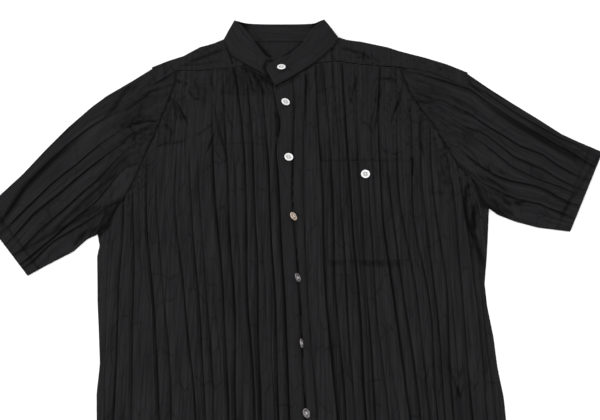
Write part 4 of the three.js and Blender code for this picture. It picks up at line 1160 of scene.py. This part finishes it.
def sleeve_sheet(name, outline, pleats, creases, crumples, shades, seed, painted_dimming):
    fold, underarm, armhole, yoke_seam = outline
    plan = sleeve_plan(fold, underarm, armhole)
    lines = lines_on_patch(pleats, plan)
    length = float(np.linalg.norm(plan(0.5, 1.0) - plan(0.5, 0.0)))
    rows = [sleeve_row(plan, lines, v, length) for v in np.linspace(0.0, 1.0, SLEEVE_ROWS)]
    on_top = slice(1, rows[0][1] + 1)
    grid = with_line([row for row, _ in rows])
    top = grid[:, on_top]
    x, y = top[..., 0], top[..., 1]
    edge = np.minimum(distance_to(fold, top)[0], distance_to(underarm, top)[0])
    calm = smooth(edge / 10)
    top[..., 2] = mix(SLEEVE_EDGE, top[..., 2], calm)
    top[..., 2] += 0.35 * waves(x, y, seed, 70.0) * calm + 0.14 * waves(x, y, seed + 5, 22.0) * calm
    dress(top, creases, crumples, [(armhole, 34, 0.55, seed + 20)])
    from_hem = distance_to([fold[-1], underarm[-1]], top)[0]
    sink(top, np.abs(from_hem - SLEEVE_HEM), 0.8, 1.7)
    top[..., 2] = np.maximum(top[..., 2], 1.5)
    dip_at(top, armhole)
    # the sleeve's head slips between the two layers of the yoke
    tip = sorted(p for p in yoke_seam if abs(p[0]) > 140)
    seam_gap, _, _ = distance_to(tip, grid)
    covered = (grid[..., 1] > by_x(tip)(grid[..., 0])) & (np.abs(grid[..., 0]) < max(abs(p[0]) for p in tip))
    tucked = np.where(covered, smooth(seam_gap / 2.5), 0.0)
    grid[..., 2] = mix(grid[..., 2], np.clip(grid[..., 2], *YOKE_GAP), tucked)
    near_seam = np.where(covered, 0.0, np.exp(-((seam_gap / 1.8) ** 2)))
    top[..., 2] -= 0.7 * near_seam[:, on_top]
    # painted shade: the whole top of the sleeve is made darker, by its own amount on each side
    top[..., 3] += painted_dimming
    dress(grid, shades=shades)
    uv = sleeve_uv(grid)
    if fold[-1][0] > 0:
        grid, uv = grid[::-1], uv[::-1]
    return cloth_sheet(name, grid[:, ::-1], CLOTH, ring=True, uv=uv[:, ::-1])

# %% [markdown]
# The tables of both sleeves: creases and shades with their path, depth or darkness and width, and
# crumples with their centre, reach, height, length of the waves and seed.

# %% Both sleeves
RIGHT_SLEEVE_CREASES = [
    ([(-250, 201), (-264, 174), (-280, 142)], 1.6, 2.4),
    ([(-425, -40), (-417, -26), (-388, 32), (-354, 74), (-325, 102), (-300, 122)], 1.3, 4.0),
    ([(-201, 139), (-223, 138), (-262, 124)], 1.2, 2.0),
    ([(-218, 163), (-236, 145), (-250, 138)], 1.1, 2.0),
    ([(-244, 103), (-232, 122), (-216, 130)], 0.9, 2.0),
    ([(-192, 203), (-215, 190), (-232, 176)], 0.9, 2.6),
    ([(-200, 180), (-222, 178), (-245, 186)], 0.8, 2.6),
    ([(-262, 150), (-240, 120), (-236, 96)], 0.7, 2.2),
    ([(-272, 10), (-292, 0), (-318, -22)], 0.9, 2.0),
    ([(-282, -22), (-298, -34), (-310, -50)], 0.9, 2.0),
    ([(-246, 40), (-262, 30), (-268, 10)], 0.8, 2.0),
    ([(-181, 216), (-206, 210), (-238, 196), (-262, 180)], 1.5, 2.0),
    ([(-199, 198), (-216, 191), (-236, 171), (-265, 148)], 1.5, 1.8),
    ([(-203, 138), (-223, 138), (-249, 133), (-275, 127)], 1.6, 1.6),
    ([(-245, 211), (-259, 187), (-277, 154), (-289, 137)], 1.8, 2.0),
    ([(-233, 124), (-251, 111), (-259, 93)], 1.2, 1.6),
    ([(-258, 5), (-272, -11), (-278, -26)], 1.6, 1.8),
    ([(-250, 13), (-266, 5), (-279, -11)], 1.4, 1.8),
    ([(-254, -11), (-267, -20), (-277, -30)], 1.6, 2.0),
]
LEFT_SLEEVE_CREASES = [
    ([(163, 188), (182, 180), (200, 170)], 0.9, 2.4),
    ([(250, 184), (276, 162), (309, 136), (345, 110), (381, 85), (420, 56)], 1.5, 4.2),
    ([(144, 158), (176, 170), (206, 170)], 0.8, 2.4),
    ([(168, 210), (196, 196), (222, 190)], 0.8, 2.4),
    ([(266, 14), (290, 8), (318, 12)], 1.2, 2.0),
    ([(262, 30), (280, 20), (300, 18)], 1.0, 2.0),
    ([(272, 2), (284, -6), (300, -8)], 1.2, 2.0),
    ([(230, 120), (262, 96), (290, 84)], 0.7, 2.2),
    ([(222, 170), (236, 150), (262, 156)], 0.8, 2.0),
    ([(165, 198), (188, 192), (218, 180), (255, 158), (273, 158)], 1.4, 1.8),
    ([(172, 191), (195, 175), (217, 169), (252, 161)], 1.2, 1.6),
    ([(178, 158), (201, 147), (230, 127), (260, 111)], 1.0, 1.8),
    ([(228, 90), (246, 76), (263, 61), (304, 52)], 1.4, 1.8),
    ([(226, 69), (248, 52), (269, 44), (301, 23)], 1.4, 1.8),
    ([(265, 14), (289, 9), (319, 12)], 1.3, 1.8),
    ([(243, 44), (261, 32), (265, 16)], 1.4, 2.0),
    ([(244, 215), (258, 193), (279, 171)], 1.0, 1.8),
]
RIGHT_SLEEVE_SHADES = [
    ([RIGHT_UNDERARM[0], *RIGHT_ARMHOLE[1:4]], 0.9, 5.0),
    ([(-256, 58), (-292, 24), (-344, -38)], 1.0, 2.4),
    ([(-243, 84), (-262, 62), (-290, 40)], 0.5, 6.0),
    ([(-255, 14), (-292, -7), (-344, -38), (-396, -70)], 0.7, 2.0),
    ([(-268, -27), (-296, -36), (-313, -55)], 1.0, 2.4),
    ([(-256, -20), (-266, -28), (-282, -34)], 1.6, 3.2),
    ([(-392, -70), (-400, -78), (-408, -90)], 1.6, 2.4),
    ([(-440, 10), (-398, 62), (-352, 110), (-316, 142)], 0.5, 3.0),
]
LEFT_SLEEVE_SHADES = [
    ([LEFT_UNDERARM[1], LEFT_UNDERARM[0], *LEFT_ARMHOLE[1:3]], 0.9, 5.0),
    ([(250, 62), (290, 26), (345, 12), (392, -6)], 0.4, 2.2),
    ([(262, 4), (280, -3), (300, -6)], 1.0, 2.6),
    ([(430, 85), (418, 68), (372, 2), (360, -16)], 0.6, 2.2),
    ([(330, 135), (376, 100), (424, 63)], 0.6, 4.0),
]
RIGHT_SLEEVE_CRUMPLES = [((-225, 165), (45, 45), 1.1, 24, 50), ((-250, 110), (28, 50), 1.1, 15, 50),
                         ((-275, -5), (30, 35), 1.1, 16, 50)]
LEFT_SLEEVE_CRUMPLES = [((205, 180), (50, 35), 0.9, 24, 60), ((235, 120), (28, 35), 0.9, 15, 60),
                        ((272, 15), (26, 22), 1.1, 14, 60)]
sleeve_right = sleeve_sheet(
    "sleeve_right_cloth", (RIGHT_SLEEVE_TOP, RIGHT_UNDERARM, RIGHT_ARMHOLE, RIGHT_YOKE_SEAM),
    RIGHT_SLEEVE_PLEATS, RIGHT_SLEEVE_CREASES, RIGHT_SLEEVE_CRUMPLES, RIGHT_SLEEVE_SHADES, seed=41, painted_dimming=0.24)
sleeve_left = sleeve_sheet(
    "sleeve_left_cloth", (LEFT_SLEEVE_TOP, LEFT_UNDERARM, LEFT_ARMHOLE, LEFT_YOKE_SEAM),
    LEFT_SLEEVE_PLEATS, LEFT_SLEEVE_CREASES, LEFT_SLEEVE_CRUMPLES, LEFT_SLEEVE_SHADES, seed=51, painted_dimming=0.12)

# %% [markdown]
# The collar band is a firm strip of two plies. It stands on the neck seam, leans inwards, and
# because the shirt lies flat it folds at each side of the neck. The table gives the seam and the
# free edge at places round the neck, from the end that lies under to the end that lies over.

# %% Collar band
COLLAR = np.array([
    (-6, 215, 4.2, -21, 240, 5.6), (-20, 206.5, 4.2, -31, 237, 5.8), (-34, 203, 4.3, -41, 239, 6.2),
    (-48, 210, 4.4, -52, 246, 7.2), (-62.4, 220.6, 4.4, -60, 257, 9), (-82, 232.4, 4.7, -68, 267, 11.5),
    (-101, 245.3, 5.6, -77, 279, 14.5), (-110, 259, 7.2, -87, 291, 18.5), (-114.5, 272.5, 8.2, -98, 298, 21),
    (-108, 275.5, 3.8, -94, 302, 13.5), (-92, 274.4, 1.9, -82, 303, 6.5), (-66, 273.8, 1.6, -62, 303, 4),
    (-28, 273.6, 1.6, -29, 303, 3.4), (10, 273.8, 1.6, 5, 303, 4), (34, 274.4, 1.9, 22, 303, 6.5),
    (50, 276, 3.8, 31, 303, 13.5), (58, 275.5, 8.2, 36, 299.4, 21), (53, 264, 7.0, 24, 292, 19),
    (43, 254, 5.6, 13, 280, 16), (31, 242.5, 5.2, 5, 266, 13), (18, 231, 5.2, -5, 256, 11),
    (0, 218, 5.6, -16, 247, 10), (-17.7, 205.8, 6.2, -31, 238, 9.4), (-36, 194.5, 6.0, -53, 227, 9.0),
])
COLLAR_FOLDS = (-98, 36)
OVER_END = [(-38, 194), (-54, 227), (-49, 236), (-31, 240), (-16, 249), (-5, 258)]
COLLAR_STATIONS = 220
COLLAR_HALF = 0.8
# columns: share of the band's width and half thickness, round one section of the band
COLLAR_SECTION = [(0.0, 0.9), (0.06, 1.0), (0.12, 0.85), (0.3, 1.05), (0.5, 1.1), (0.7, 1.05), (0.86, 0.95),
                  (0.93, 0.8), (0.985, 0.85), (1.0, 0.4)]


def smooth_rows(table, count):
    """The table's rows, spaced out evenly along a smooth curve."""
    run = run_of(table[:, :3], table[:, 3:])
    at = np.linspace(0, run[-1], count)
    return np.stack([through(run, table[:, k], at) for k in range(6)], axis=1)


def collar_mesh():
    rows = smooth_rows(COLLAR, COLLAR_STATIONS)
    seam, edge = rows[:, :3], rows[:, 3:]
    forward = np.gradient(seam + edge, axis=0)
    up = edge - seam
    width = np.linalg.norm(up, axis=1)
    face = np.cross(forward, up)
    face /= np.linalg.norm(face, axis=1)[:, None]
    ring = COLLAR_SECTION + [(s, -h) for s, h in reversed(COLLAR_SECTION)]
    run = run_of((seam + edge) / 2)
    # behind its two folds the band lies in a narrow gap, which gets little light
    behind = (seam[:, 1] > NECK_BACK) & (edge[:, 2] < 13)
    to_fold = np.minimum(*(np.abs(edge[:, 0] - fold) for fold in COLLAR_FOLDS))
    in_fold = np.where(behind, mix(0.08, 1.0, smooth((to_fold - 12) / 18)), 0.92)
    # painted shade along the seam: deep on the band's front parts, slight behind its folds
    at_seam = np.where(behind, 0.9, 0.3)
    points, uv, shade = [], [], []
    for i, at in enumerate(run):
        # the over end's upper corner is rounded
        round_off = 1 - 0.15 * (1 - smooth((run[-1] - at) / 8.0)) ** 1.5
        ripple = 0.28 * math.sin(at / 9.0) + 0.2 * math.sin(at / 4.3 + 1.0)
        for s, h in ring:
            puff = ripple * math.sin(math.pi * s)
            points.append(seam[i] + up[i] * s * round_off + face[i] * (h * COLLAR_HALF + puff))
            uv.append((s * width[i], at))
            shade.append(mix(at_seam[i], 1.0, smooth(s / 0.09)) * in_fold[i])
    points, uv, shade = np.array(points), np.array(uv), np.array(shade)
    # the end that lies over shades the end that lies under it
    gap, _, _ = distance_to(OVER_END, points)
    under = np.repeat(run < 0.3 * run[-1], len(ring))
    shade *= np.where(under, 1 - 0.85 * np.exp(-((gap / 3.2) ** 2)), 1.0)
    faces = grid_faces(COLLAR_STATIONS, len(ring), ring=True)
    mesh = mesh_from("collar_band_cloth", metres(points), faces, uv, shade)
    face_outwards(mesh, close=True)
    return mesh, seam, edge, face


collar_data, collar_seam, collar_edge, collar_face = collar_mesh()
collar = add_object("collar_band_cloth", collar_data)
collar.data.materials.append(PLAIN)
ALL_SHEETS["collar_band_cloth"] = collar
print("collar band:", len(collar.data.polygons), "faces")

# %% [markdown]
# Buttons. Each is a turned disc with a raised rim, a sunk middle and four holes, sewn on with pale
# thread that crosses the middle. Those at the top and on the pocket are pearly white, the first
# one in the crease is tan, and the ones below it are dark grey.

# %% Button material
def shell_button(name, pale, dark):
    """Polished shell, whose colour clouds between pale and dark."""
    material, tree, shader = new_material(name, pale, 0.28, 0.5)
    add = partial(add_node, tree)
    place = add("ShaderNodeTexCoord").outputs["Object"]
    cloud = add("ShaderNodeTexNoise", {"Vector": place, "Scale": 260.0, "Detail": 4.0, "Distortion": 1.2})
    tone = colour_ramp(tree, cloud, (0.32, dark), (0.68, pale))
    # the sunk middle gets less light
    middle = add("ShaderNodeAttribute", attribute_name="sunk_middle").outputs["Fac"]
    colour = add("ShaderNodeMix", {"Factor": middle, "A": tone, "B": (0.66, 0.66, 0.66, 1)},
                 data_type="RGBA", blend_type="MULTIPLY")
    bump = add("ShaderNodeBump", {"Height": cloud, "Strength": 0.08, "Distance": 0.0003})
    feed(tree, shader, {"Base Color": colour.outputs["Result"], "Normal": bump,
                        "Coat Weight": 0.4, "Coat Roughness": 0.12})
    return material


SHELLS = {
    "pearl": shell_button("pearl_shell", (0.84, 0.84, 0.84), (0.72, 0.72, 0.71)),
    "tan": shell_button("tan_shell", (0.62, 0.5, 0.4), (0.36, 0.26, 0.2)),
    "dark_grey": shell_button("dark_grey_shell", (0.3, 0.27, 0.28), (0.06, 0.052, 0.058)),
}
THREAD, thread_tree, thread_shader = new_material("black_thread", (0.005, 0.005, 0.006), 0.75, 0.12)
thread_place = add_node(thread_tree, "ShaderNodeTexCoord").outputs["Object"]
twist = add_node(thread_tree, "ShaderNodeTexWave", {"Vector": thread_place, "Scale": 900.0})
twist_bump = add_node(thread_tree, "ShaderNodeBump", {
    "Height": twist.outputs["Fac"], "Strength": 0.5, "Distance": 0.0001})
feed(thread_tree, thread_shader, {"Normal": twist_bump})
PALE_THREAD = new_material("pale_thread", (0.6, 0.6, 0.59), 0.7, 0.2)[0]
print("button finishes:", ", ".join(SHELLS))

# %% [markdown]
# A profile is turned to make the disc, the holes are drilled through it, and a bevel softens every
# sharp edge. The thread is two strands over each diagonal between the holes.

# %% Turn a button
BUTTON_R = 6.35
HOLE_R = 0.95
HOLE_OFF = 1.7
RIM_STEPS = 48
WELL_R = 3.95  # the sunk middle ends here
# columns: radius and height of the rings from the underside over the rim to the sunk middle, mm
PROFILE = [(4.6, -1.0), (5.6, -0.8), (6.15, -0.35), (BUTTON_R, 0.2), (6.2, 0.75), (5.8, 1.05),
           (5.2, 1.1), (4.5, 0.95), (3.9, 0.6), (3.3, 0.35)]


def round_steps(count):
    """Cosine and sine at even steps of a turn."""
    turn = 2 * math.pi * np.arange(count) / count
    return np.cos(turn), np.sin(turn)


def capped_tube(rings):
    """Points and faces of a row of rings, closed by one face at each end."""
    count, around = rings.shape[:2]
    faces = [tuple(face) for face in grid_faces(count, around, ring=True).tolist()]
    faces.append(tuple(reversed(range(around))))
    faces.append(tuple((count - 1) * around + k for k in range(around)))
    return rings.reshape(-1, 3), faces


def plain_mesh(name, points, faces):
    """A mesh from points in millimetres."""
    mesh = bpy.data.meshes.new(name)
    mesh.from_pydata((np.asarray(points) * MM).tolist(), [], faces)
    return mesh


def button_mesh():
    cos, sin = round_steps(RIM_STEPS)
    rings = np.array([np.stack([r * cos, r * sin, z + 0 * cos], axis=1) for r, z in PROFILE])
    disc = add_object("button_disc", plain_mesh("button_disc", *capped_tube(rings)))
    drills = bmesh.new()
    for sx, sy in ((1, 1), (1, -1), (-1, -1), (-1, 1)):
        bmesh.ops.create_cone(
            drills, cap_ends=True, segments=16, radius1=HOLE_R * MM, radius2=HOLE_R * MM, depth=0.008,
            matrix=Matrix.Translation((sx * HOLE_OFF * MM, sy * HOLE_OFF * MM, 0)),
        )
    drill_mesh = bpy.data.meshes.new("drills")
    drills.to_mesh(drill_mesh)
    drills.free()
    drill = add_object("drills", drill_mesh)
    cut = disc.modifiers.new("holes", "BOOLEAN")
    cut.operation, cut.solver, cut.object = "DIFFERENCE", "EXACT", drill
    soften = disc.modifiers.new("soften", "BEVEL")
    soften.width, soften.segments = 0.12 * MM, 2
    soften.limit_method, soften.angle_limit = "ANGLE", math.radians(50)
    made = settle(disc).data
    bpy.data.objects.remove(disc)
    bpy.data.objects.remove(drill)
    middle = made.attributes.new("sunk_middle", "FLOAT", "POINT")
    for vertex, value in zip(made.vertices, middle.data):
        value.value = float(vertex.co.xy.length < WELL_R * MM and vertex.co.z > 0)
    made.shade_smooth()
    return made


BUTTON = button_mesh()
print("button:", len(BUTTON.polygons), "faces")
STRAND_R = 0.28
STRAND_STEPS, STRAND_SIDES = 8, 8
STRAND_APART = 0.34


def strand(start, end, rise):
    """A thread that rises from one hole and goes down into the next, as points and faces in mm."""
    start, end = np.array(start, float), np.array(end, float)
    across = np.cross(end - start, (0, 0, 1.0))
    across /= np.linalg.norm(across)
    cos, sin = round_steps(STRAND_SIDES)
    section = STRAND_R * (cos[:, None] * across + sin[:, None] * np.array((0, 0, 1.0)))
    shares = [i / STRAND_STEPS for i in range(STRAND_STEPS + 1)]
    middles = [mix(start, end, t) + (0, 0, rise * math.sin(math.pi * t) ** 0.5) for t in shares]
    return capped_tube(np.array([middle + section for middle in middles]))


def thread_mesh():
    """Two strands side by side over each diagonal; the second diagonal crosses over the first."""
    points, faces = [], []
    for shift in (-STRAND_APART, STRAND_APART):
        for (ax, ay), (bx, by), rise in (((-1, -1), (1, 1), 1.0), ((-1, 1), (1, -1), 1.25)):
            side = np.array([by - ay, ax - bx], float)
            side = side / np.linalg.norm(side) * shift
            p, f = strand((ax * HOLE_OFF + side[0], ay * HOLE_OFF + side[1], -0.3),
                          (bx * HOLE_OFF + side[0], by * HOLE_OFF + side[1], -0.3), rise)
            faces += [tuple(len(points) + k for k in face) for face in f]
            points += list(p)
    mesh = plain_mesh("button_thread", points, faces)
    face_outwards(mesh)
    return mesh


BUTTON_THREAD = thread_mesh()

# %% [markdown]
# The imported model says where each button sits. In the band's fold the buttons stand tipped, each
# by its own angle, so every copy is turned before it is moved to its place.

# %% Sew the buttons on
BUTTONS = [
    # columns: name, tip in degrees, swing of the tip's axis from Y, turn, share of the rim's drop
    # by which the button is lifted, material
    ("button_1", 27, 90, 20, 0.8, "pearl"),
    ("button_2", 24, 35, 12, 0.6, "pearl"),
    ("button_3", 14, 40, 20, 0.6, "pearl"),
    ("button_4", 48, 20, 5, 0.25, "tan"),
    ("button_5", 58, 14, 20, 0.25, "dark_grey"),
    ("button_6", 76, 5, 0, 0.25, "dark_grey"),
    ("button_7", 48, 14, 15, 0.25, "dark_grey"),
    ("button_8", 26, 10, 0, 0.25, "dark_grey"),
    ("pocket_button", 0, 0, 8, 0.0, "pearl"),
]
button_pieces, thread_pieces = {}, {}
for name, tip, swing, turn, lift, shell in BUTTONS:
    tip, swing, turn = (math.radians(angle) for angle in (tip, swing, turn))
    low, high = (Vector(corner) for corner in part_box(name))
    middle = (low + high) / 2
    # a tipped button is held off the cloth by its rim
    middle.z += BUTTON_R * MM * lift * math.sin(tip)
    where = (Matrix.Translation(middle) @ Matrix.Rotation(swing, 4, "Z") @ Matrix.Rotation(tip, 4, "Y")
             @ Matrix.Rotation(turn - swing, 4, "Z"))
    for pieces, mesh, ending, paint in ((button_pieces, BUTTON, "_shell", SHELLS[shell]),
                                        (thread_pieces, BUTTON_THREAD, "_thread", PALE_THREAD)):
        copy = mesh.copy()
        copy.name = name + ending
        copy.transform(where)
        copy.materials.clear()
        copy.materials.append(paint)
        pieces[name] = add_object(name + ending, copy)
print("buttons:", len(button_pieces))

# %% [markdown]
# Stitches. A sewing machine leaves a row of short, even dashes. One Geometry Nodes tree makes every
# row: it walks along the lines it is given, sets one stitch at each step, turns it along the
# line and makes the copies real.

# %% Stitch tree
def stitch_tree():
    tree = bpy.data.node_groups.new("stitch_rows", "GeometryNodeTree")
    for label, way, kind, value in (
        ("Geometry", "INPUT", "Geometry", None), ("Step", "INPUT", "Float", 2.6 * MM),
        ("Stitch Length", "INPUT", "Float", 2.0 * MM), ("Thread", "INPUT", "Float", 0.4 * MM),
        ("Material", "INPUT", "Material", None), ("Geometry", "OUTPUT", "Geometry", None),
    ):
        socket = tree.interface.new_socket(label, in_out=way, socket_type="NodeSocket" + kind)
        if value is not None:
            socket.default_value = value
    add = partial(add_node, tree)
    given = add("NodeGroupInput").outputs
    line = add("GeometryNodeMeshToCurve", {"Mesh": given["Geometry"]})
    steps = add("GeometryNodeResampleCurve", {"Curve": line, "Length": given["Step"]}, mode="LENGTH")
    ball = add("GeometryNodeMeshUVSphere", {"Segments": 6, "Rings": 5, "Radius": 0.5})
    size = add("ShaderNodeCombineXYZ", {
        "X": given["Stitch Length"], "Y": given["Thread"], "Z": given["Thread"]})
    turn = add("FunctionNodeAlignRotationToVector", {"Vector": add("GeometryNodeInputTangent")}, axis="X")
    copies = add("GeometryNodeInstanceOnPoints", {
        "Points": steps, "Instance": ball, "Rotation": turn, "Scale": size})
    real = add("GeometryNodeRealizeInstances", {"Geometry": copies})
    paint = add("GeometryNodeSetMaterial", {"Geometry": real, "Material": given["Material"]})
    add("NodeGroupOutput", {"Geometry": paint})
    return tree


STITCHES = stitch_tree()
SOCKETS = {s.name: s.identifier for s in STITCHES.interface.items_tree if s.in_out == "INPUT"}
STITCH_PIECES = []


def stitch_rows(name, paths, step=2.6, length=2.0, thread=0.4):
    """Rows of stitches along paths of layout points (x, y, z), with sizes in millimetres."""
    points, edges = [], []
    for path in paths:
        start = len(points)
        points += [tuple(p) for p in metres(path)]
        edges += [(start + k, start + k + 1) for k in range(len(path) - 1)]
    mesh = bpy.data.meshes.new(name)
    mesh.from_pydata(points, edges, [])
    piece = add_object(name, mesh)
    rows = piece.modifiers.new("stitches", "NODES")
    rows.node_group = STITCHES
    for label, value in (("Step", step), ("Stitch Length", length), ("Thread", thread)):
        rows[SOCKETS[label]] = value * MM
    rows[SOCKETS["Material"]] = THREAD
    settle(piece)
    piece.data.shade_smooth()
    STITCH_PIECES.append(piece)
    print(f"{name}: {len(piece.data.polygons)} faces")


def on_surface(tree, path, spacing=2.0, above=0.05):
    """Points along a plan path, laid on the surface of a search tree."""
    plan = along(path)(np.linspace(0, 1, max(2, int(run_of(path)[-1] / spacing))))
    return [(x, y, top_at(tree, x, y, 3.0) + above) for x, y in plan]

# %% [markdown]
# The rows follow the bands, the pocket, the hems, the yoke seams and the collar. Each path is given
# in plan and laid on the cloth under it.

# %% Rows of stitches on the panels
def rows_on(name, tree, paths, **sizes):
    stitch_rows(name, [on_surface(tree, path) for path in paths], **sizes)


band_tree = surface_tree(buttonhole_band)
rows_on("band_stitches", band_tree, [
    follow(band_right, -2.0, np.linspace(-468, 196, 120)),
    follow(band_left, 2.5, np.linspace(-466, 184, 120)),
])
# the pocket: down one side, two rows along the foot, up the other side, and the mouth
rows_on("pocket_stitches", surface_tree(pocket), [
    follow(pocket_left, 2.2, np.linspace(72, -74, 60)),
    [(x, -74.2) for x in np.linspace(39.5, 146.8, 50)],
    [(x, -68.5) for x in np.linspace(37.5, 149.0, 50)],
    follow(pocket_right, -2.2, np.linspace(-74, 72, 60)),
    [(30.5, 49.5), (155.5, 51.5)],
])
rows_on("hem_stitches", surface_tree(front_right, front_left), [
    [(-250, -481), (-6, -467)], [(36, -465), (268, -452)]])
sleeve_and_yoke = (
    ("sleeve_hem_stitches", ((sleeve_right, [(-430, 2), (-359, -83)]),
                             (sleeve_left, [(416.5, 93), (360, -22)]))),
    ("yoke_stitches", ((yoke_right, [(x, y + 2.2) for x, y in RIGHT_YOKE_SEAM[2:5]]),
                       (yoke_left, [(x, y + 2.2) for x, y in LEFT_YOKE_SEAM[1:]]))),
)
for name, pairs in sleeve_and_yoke:
    stitch_rows(name, [on_surface(surface_tree(piece), path) for piece, path in pairs])

# the collar band's free edge, on the side that faces up, in one row for each stretch between folds
facing = np.sign(collar_face[:, 2])
collar_line = mix(collar_seam, collar_edge, 0.88) + collar_face * facing[:, None] * (COLLAR_HALF + 0.25)
turns = [0, *(np.nonzero(np.diff(facing))[0] + 1), len(facing)]
stretches = [(a, b) for a, b in zip(turns[:-1], turns[1:]) if b - a > 12]
stitch_rows("collar_stitches", [collar_line[a + 3:b - 3] for a, b in stretches])

# a buttonhole is a slit with close stitches on both sides; the buttons cover most of each
HOLE_REACH, HOLE_SIDE = 8, 1.2
slits = []
for name in list(button_pieces)[1:8]:
    x, y, _ = np.mean([v.co[:] for v in button_pieces[name].data.vertices], axis=0) / MM - SHIFT
    slits += [[(x + side, y - HOLE_REACH), (x + side, y + HOLE_REACH)] for side in (-HOLE_SIDE, HOLE_SIDE)]
rows_on("buttonholes", band_tree, slits, step=0.8, length=0.7, thread=0.5)

# %% [markdown]
# The table, the light and the camera. The shirt lies on a pale table under broad, soft light, and
# the camera looks down at it from the hem's side, 22 degrees off the vertical, as in the
# photograph, which cuts off both sleeve corners and the hem.

# %% Table, light and camera
TABLE = 6.0
TABLE_Z = -0.0004  # a hair under the cloth
table_mesh = bpy.data.meshes.new("table_top")
corners = [(x * TABLE, y * TABLE, TABLE_Z) for x, y in ((-1, -1), (1, -1), (1, 1), (-1, 1))]
table_mesh.from_pydata(corners, [], [(0, 1, 2, 3)])
table_mesh.materials.append(new_material("pale_table", (0.9, 0.9, 0.9), 0.8, 0.2)[0])
table_top = add_object("table_top", table_mesh)

world = bpy.data.worlds.new("studio")
world.use_nodes = True
feed(world.node_tree, world.node_tree.nodes["Background"], {"Color": (1, 1, 1, 1), "Strength": 0.5})
bpy.context.scene.world = world


def soft_light(name, place, size, power):
    """A square area light that shines on the middle of the shirt."""
    light = bpy.data.lights.new(name, "AREA")
    light.shape = "RECTANGLE"
    light.size = light.size_y = size
    light.energy = power
    lamp = add_object(name, light)
    lamp.location = place
    lamp.rotation_euler = (-Vector(place)).to_track_quat("-Z", "Y").to_euler()


soft_light("overhead", (-0.3, -0.4, 2.6), 1.4, 52)
soft_light("left", (-3.2, 0.5, 1.9), 1.5, 43)
soft_light("right", (3.4, 0.2, 2.2), 1.5, 26)

TILT = math.radians(21.9)
lens = bpy.data.cameras.new("camera")
lens.lens, lens.sensor_width = 54.0, 36.0
camera = add_object("camera", lens)
camera.location = metres([0.0, -470.0, 1169.0])
camera.rotation_euler = (TILT, 0, 0)
bpy.context.scene.camera = camera
bpy.context.scene.view_settings.view_transform = "Standard"

# %% [markdown]
# Last, each piece is tied to the imported model: it rides on the shirt's one body, stands for its
# solid, and takes its finish from a material slot. The table also gives the size each sheet of
# cloth was cut to before it was pleated and sewn.

# %% Tie the pieces to the imported model
SHEETS = [
    # columns: sheet, the solid it stands for, width and length of the cut in metres, its area in
    # square metres, and what it lies on
    ("front_right_cloth", "front_right", 0.285, 0.725, 0.178, ["back_cloth"]),
    ("front_left_cloth", "front_left", 0.275, 0.720, 0.176, ["back_cloth"]),
    ("pocket_cloth", "pocket", 0.135, 0.152, 0.0190, ["front_left_cloth"]),
    ("buttonhole_band_cloth", "buttonhole_band", 0.036, 0.700, 0.0252, ["button_band_cloth"]),
    ("button_band_cloth", "button_band", 0.034, 0.695, 0.0236, ["front_right_cloth"]),
    ("back_cloth", "back", 0.555, 0.665, 0.326, []),
    ("yoke_right_shoulder", None, 0.137, 0.160, 0.0151, ["back_cloth", "yoke_centre"]),
    ("yoke_left_shoulder", None, 0.228, 0.175, 0.0225, ["back_cloth", "yoke_centre"]),
    ("yoke_centre", "yoke", 0.176, 0.106, 0.0186, ["back_cloth"]),
    ("sleeve_right_cloth", "sleeve_right", 0.570, 0.370, 0.0830, []),
    ("sleeve_left_cloth", "sleeve_left", 0.515, 0.330, 0.0820, []),
    ("collar_band_cloth", "collar_band", 0.442, 0.036, 0.0142, ["yoke_centre"]),
]
for name, solid, *_ in SHEETS:
    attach(ALL_SHEETS[name], "root")
    if solid:
        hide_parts(solid)
for name, piece in button_pieces.items():
    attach(piece, "root")
    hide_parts(name)
    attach(thread_pieces[name], "root")
for piece in STITCH_PIECES:
    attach(piece, "root")
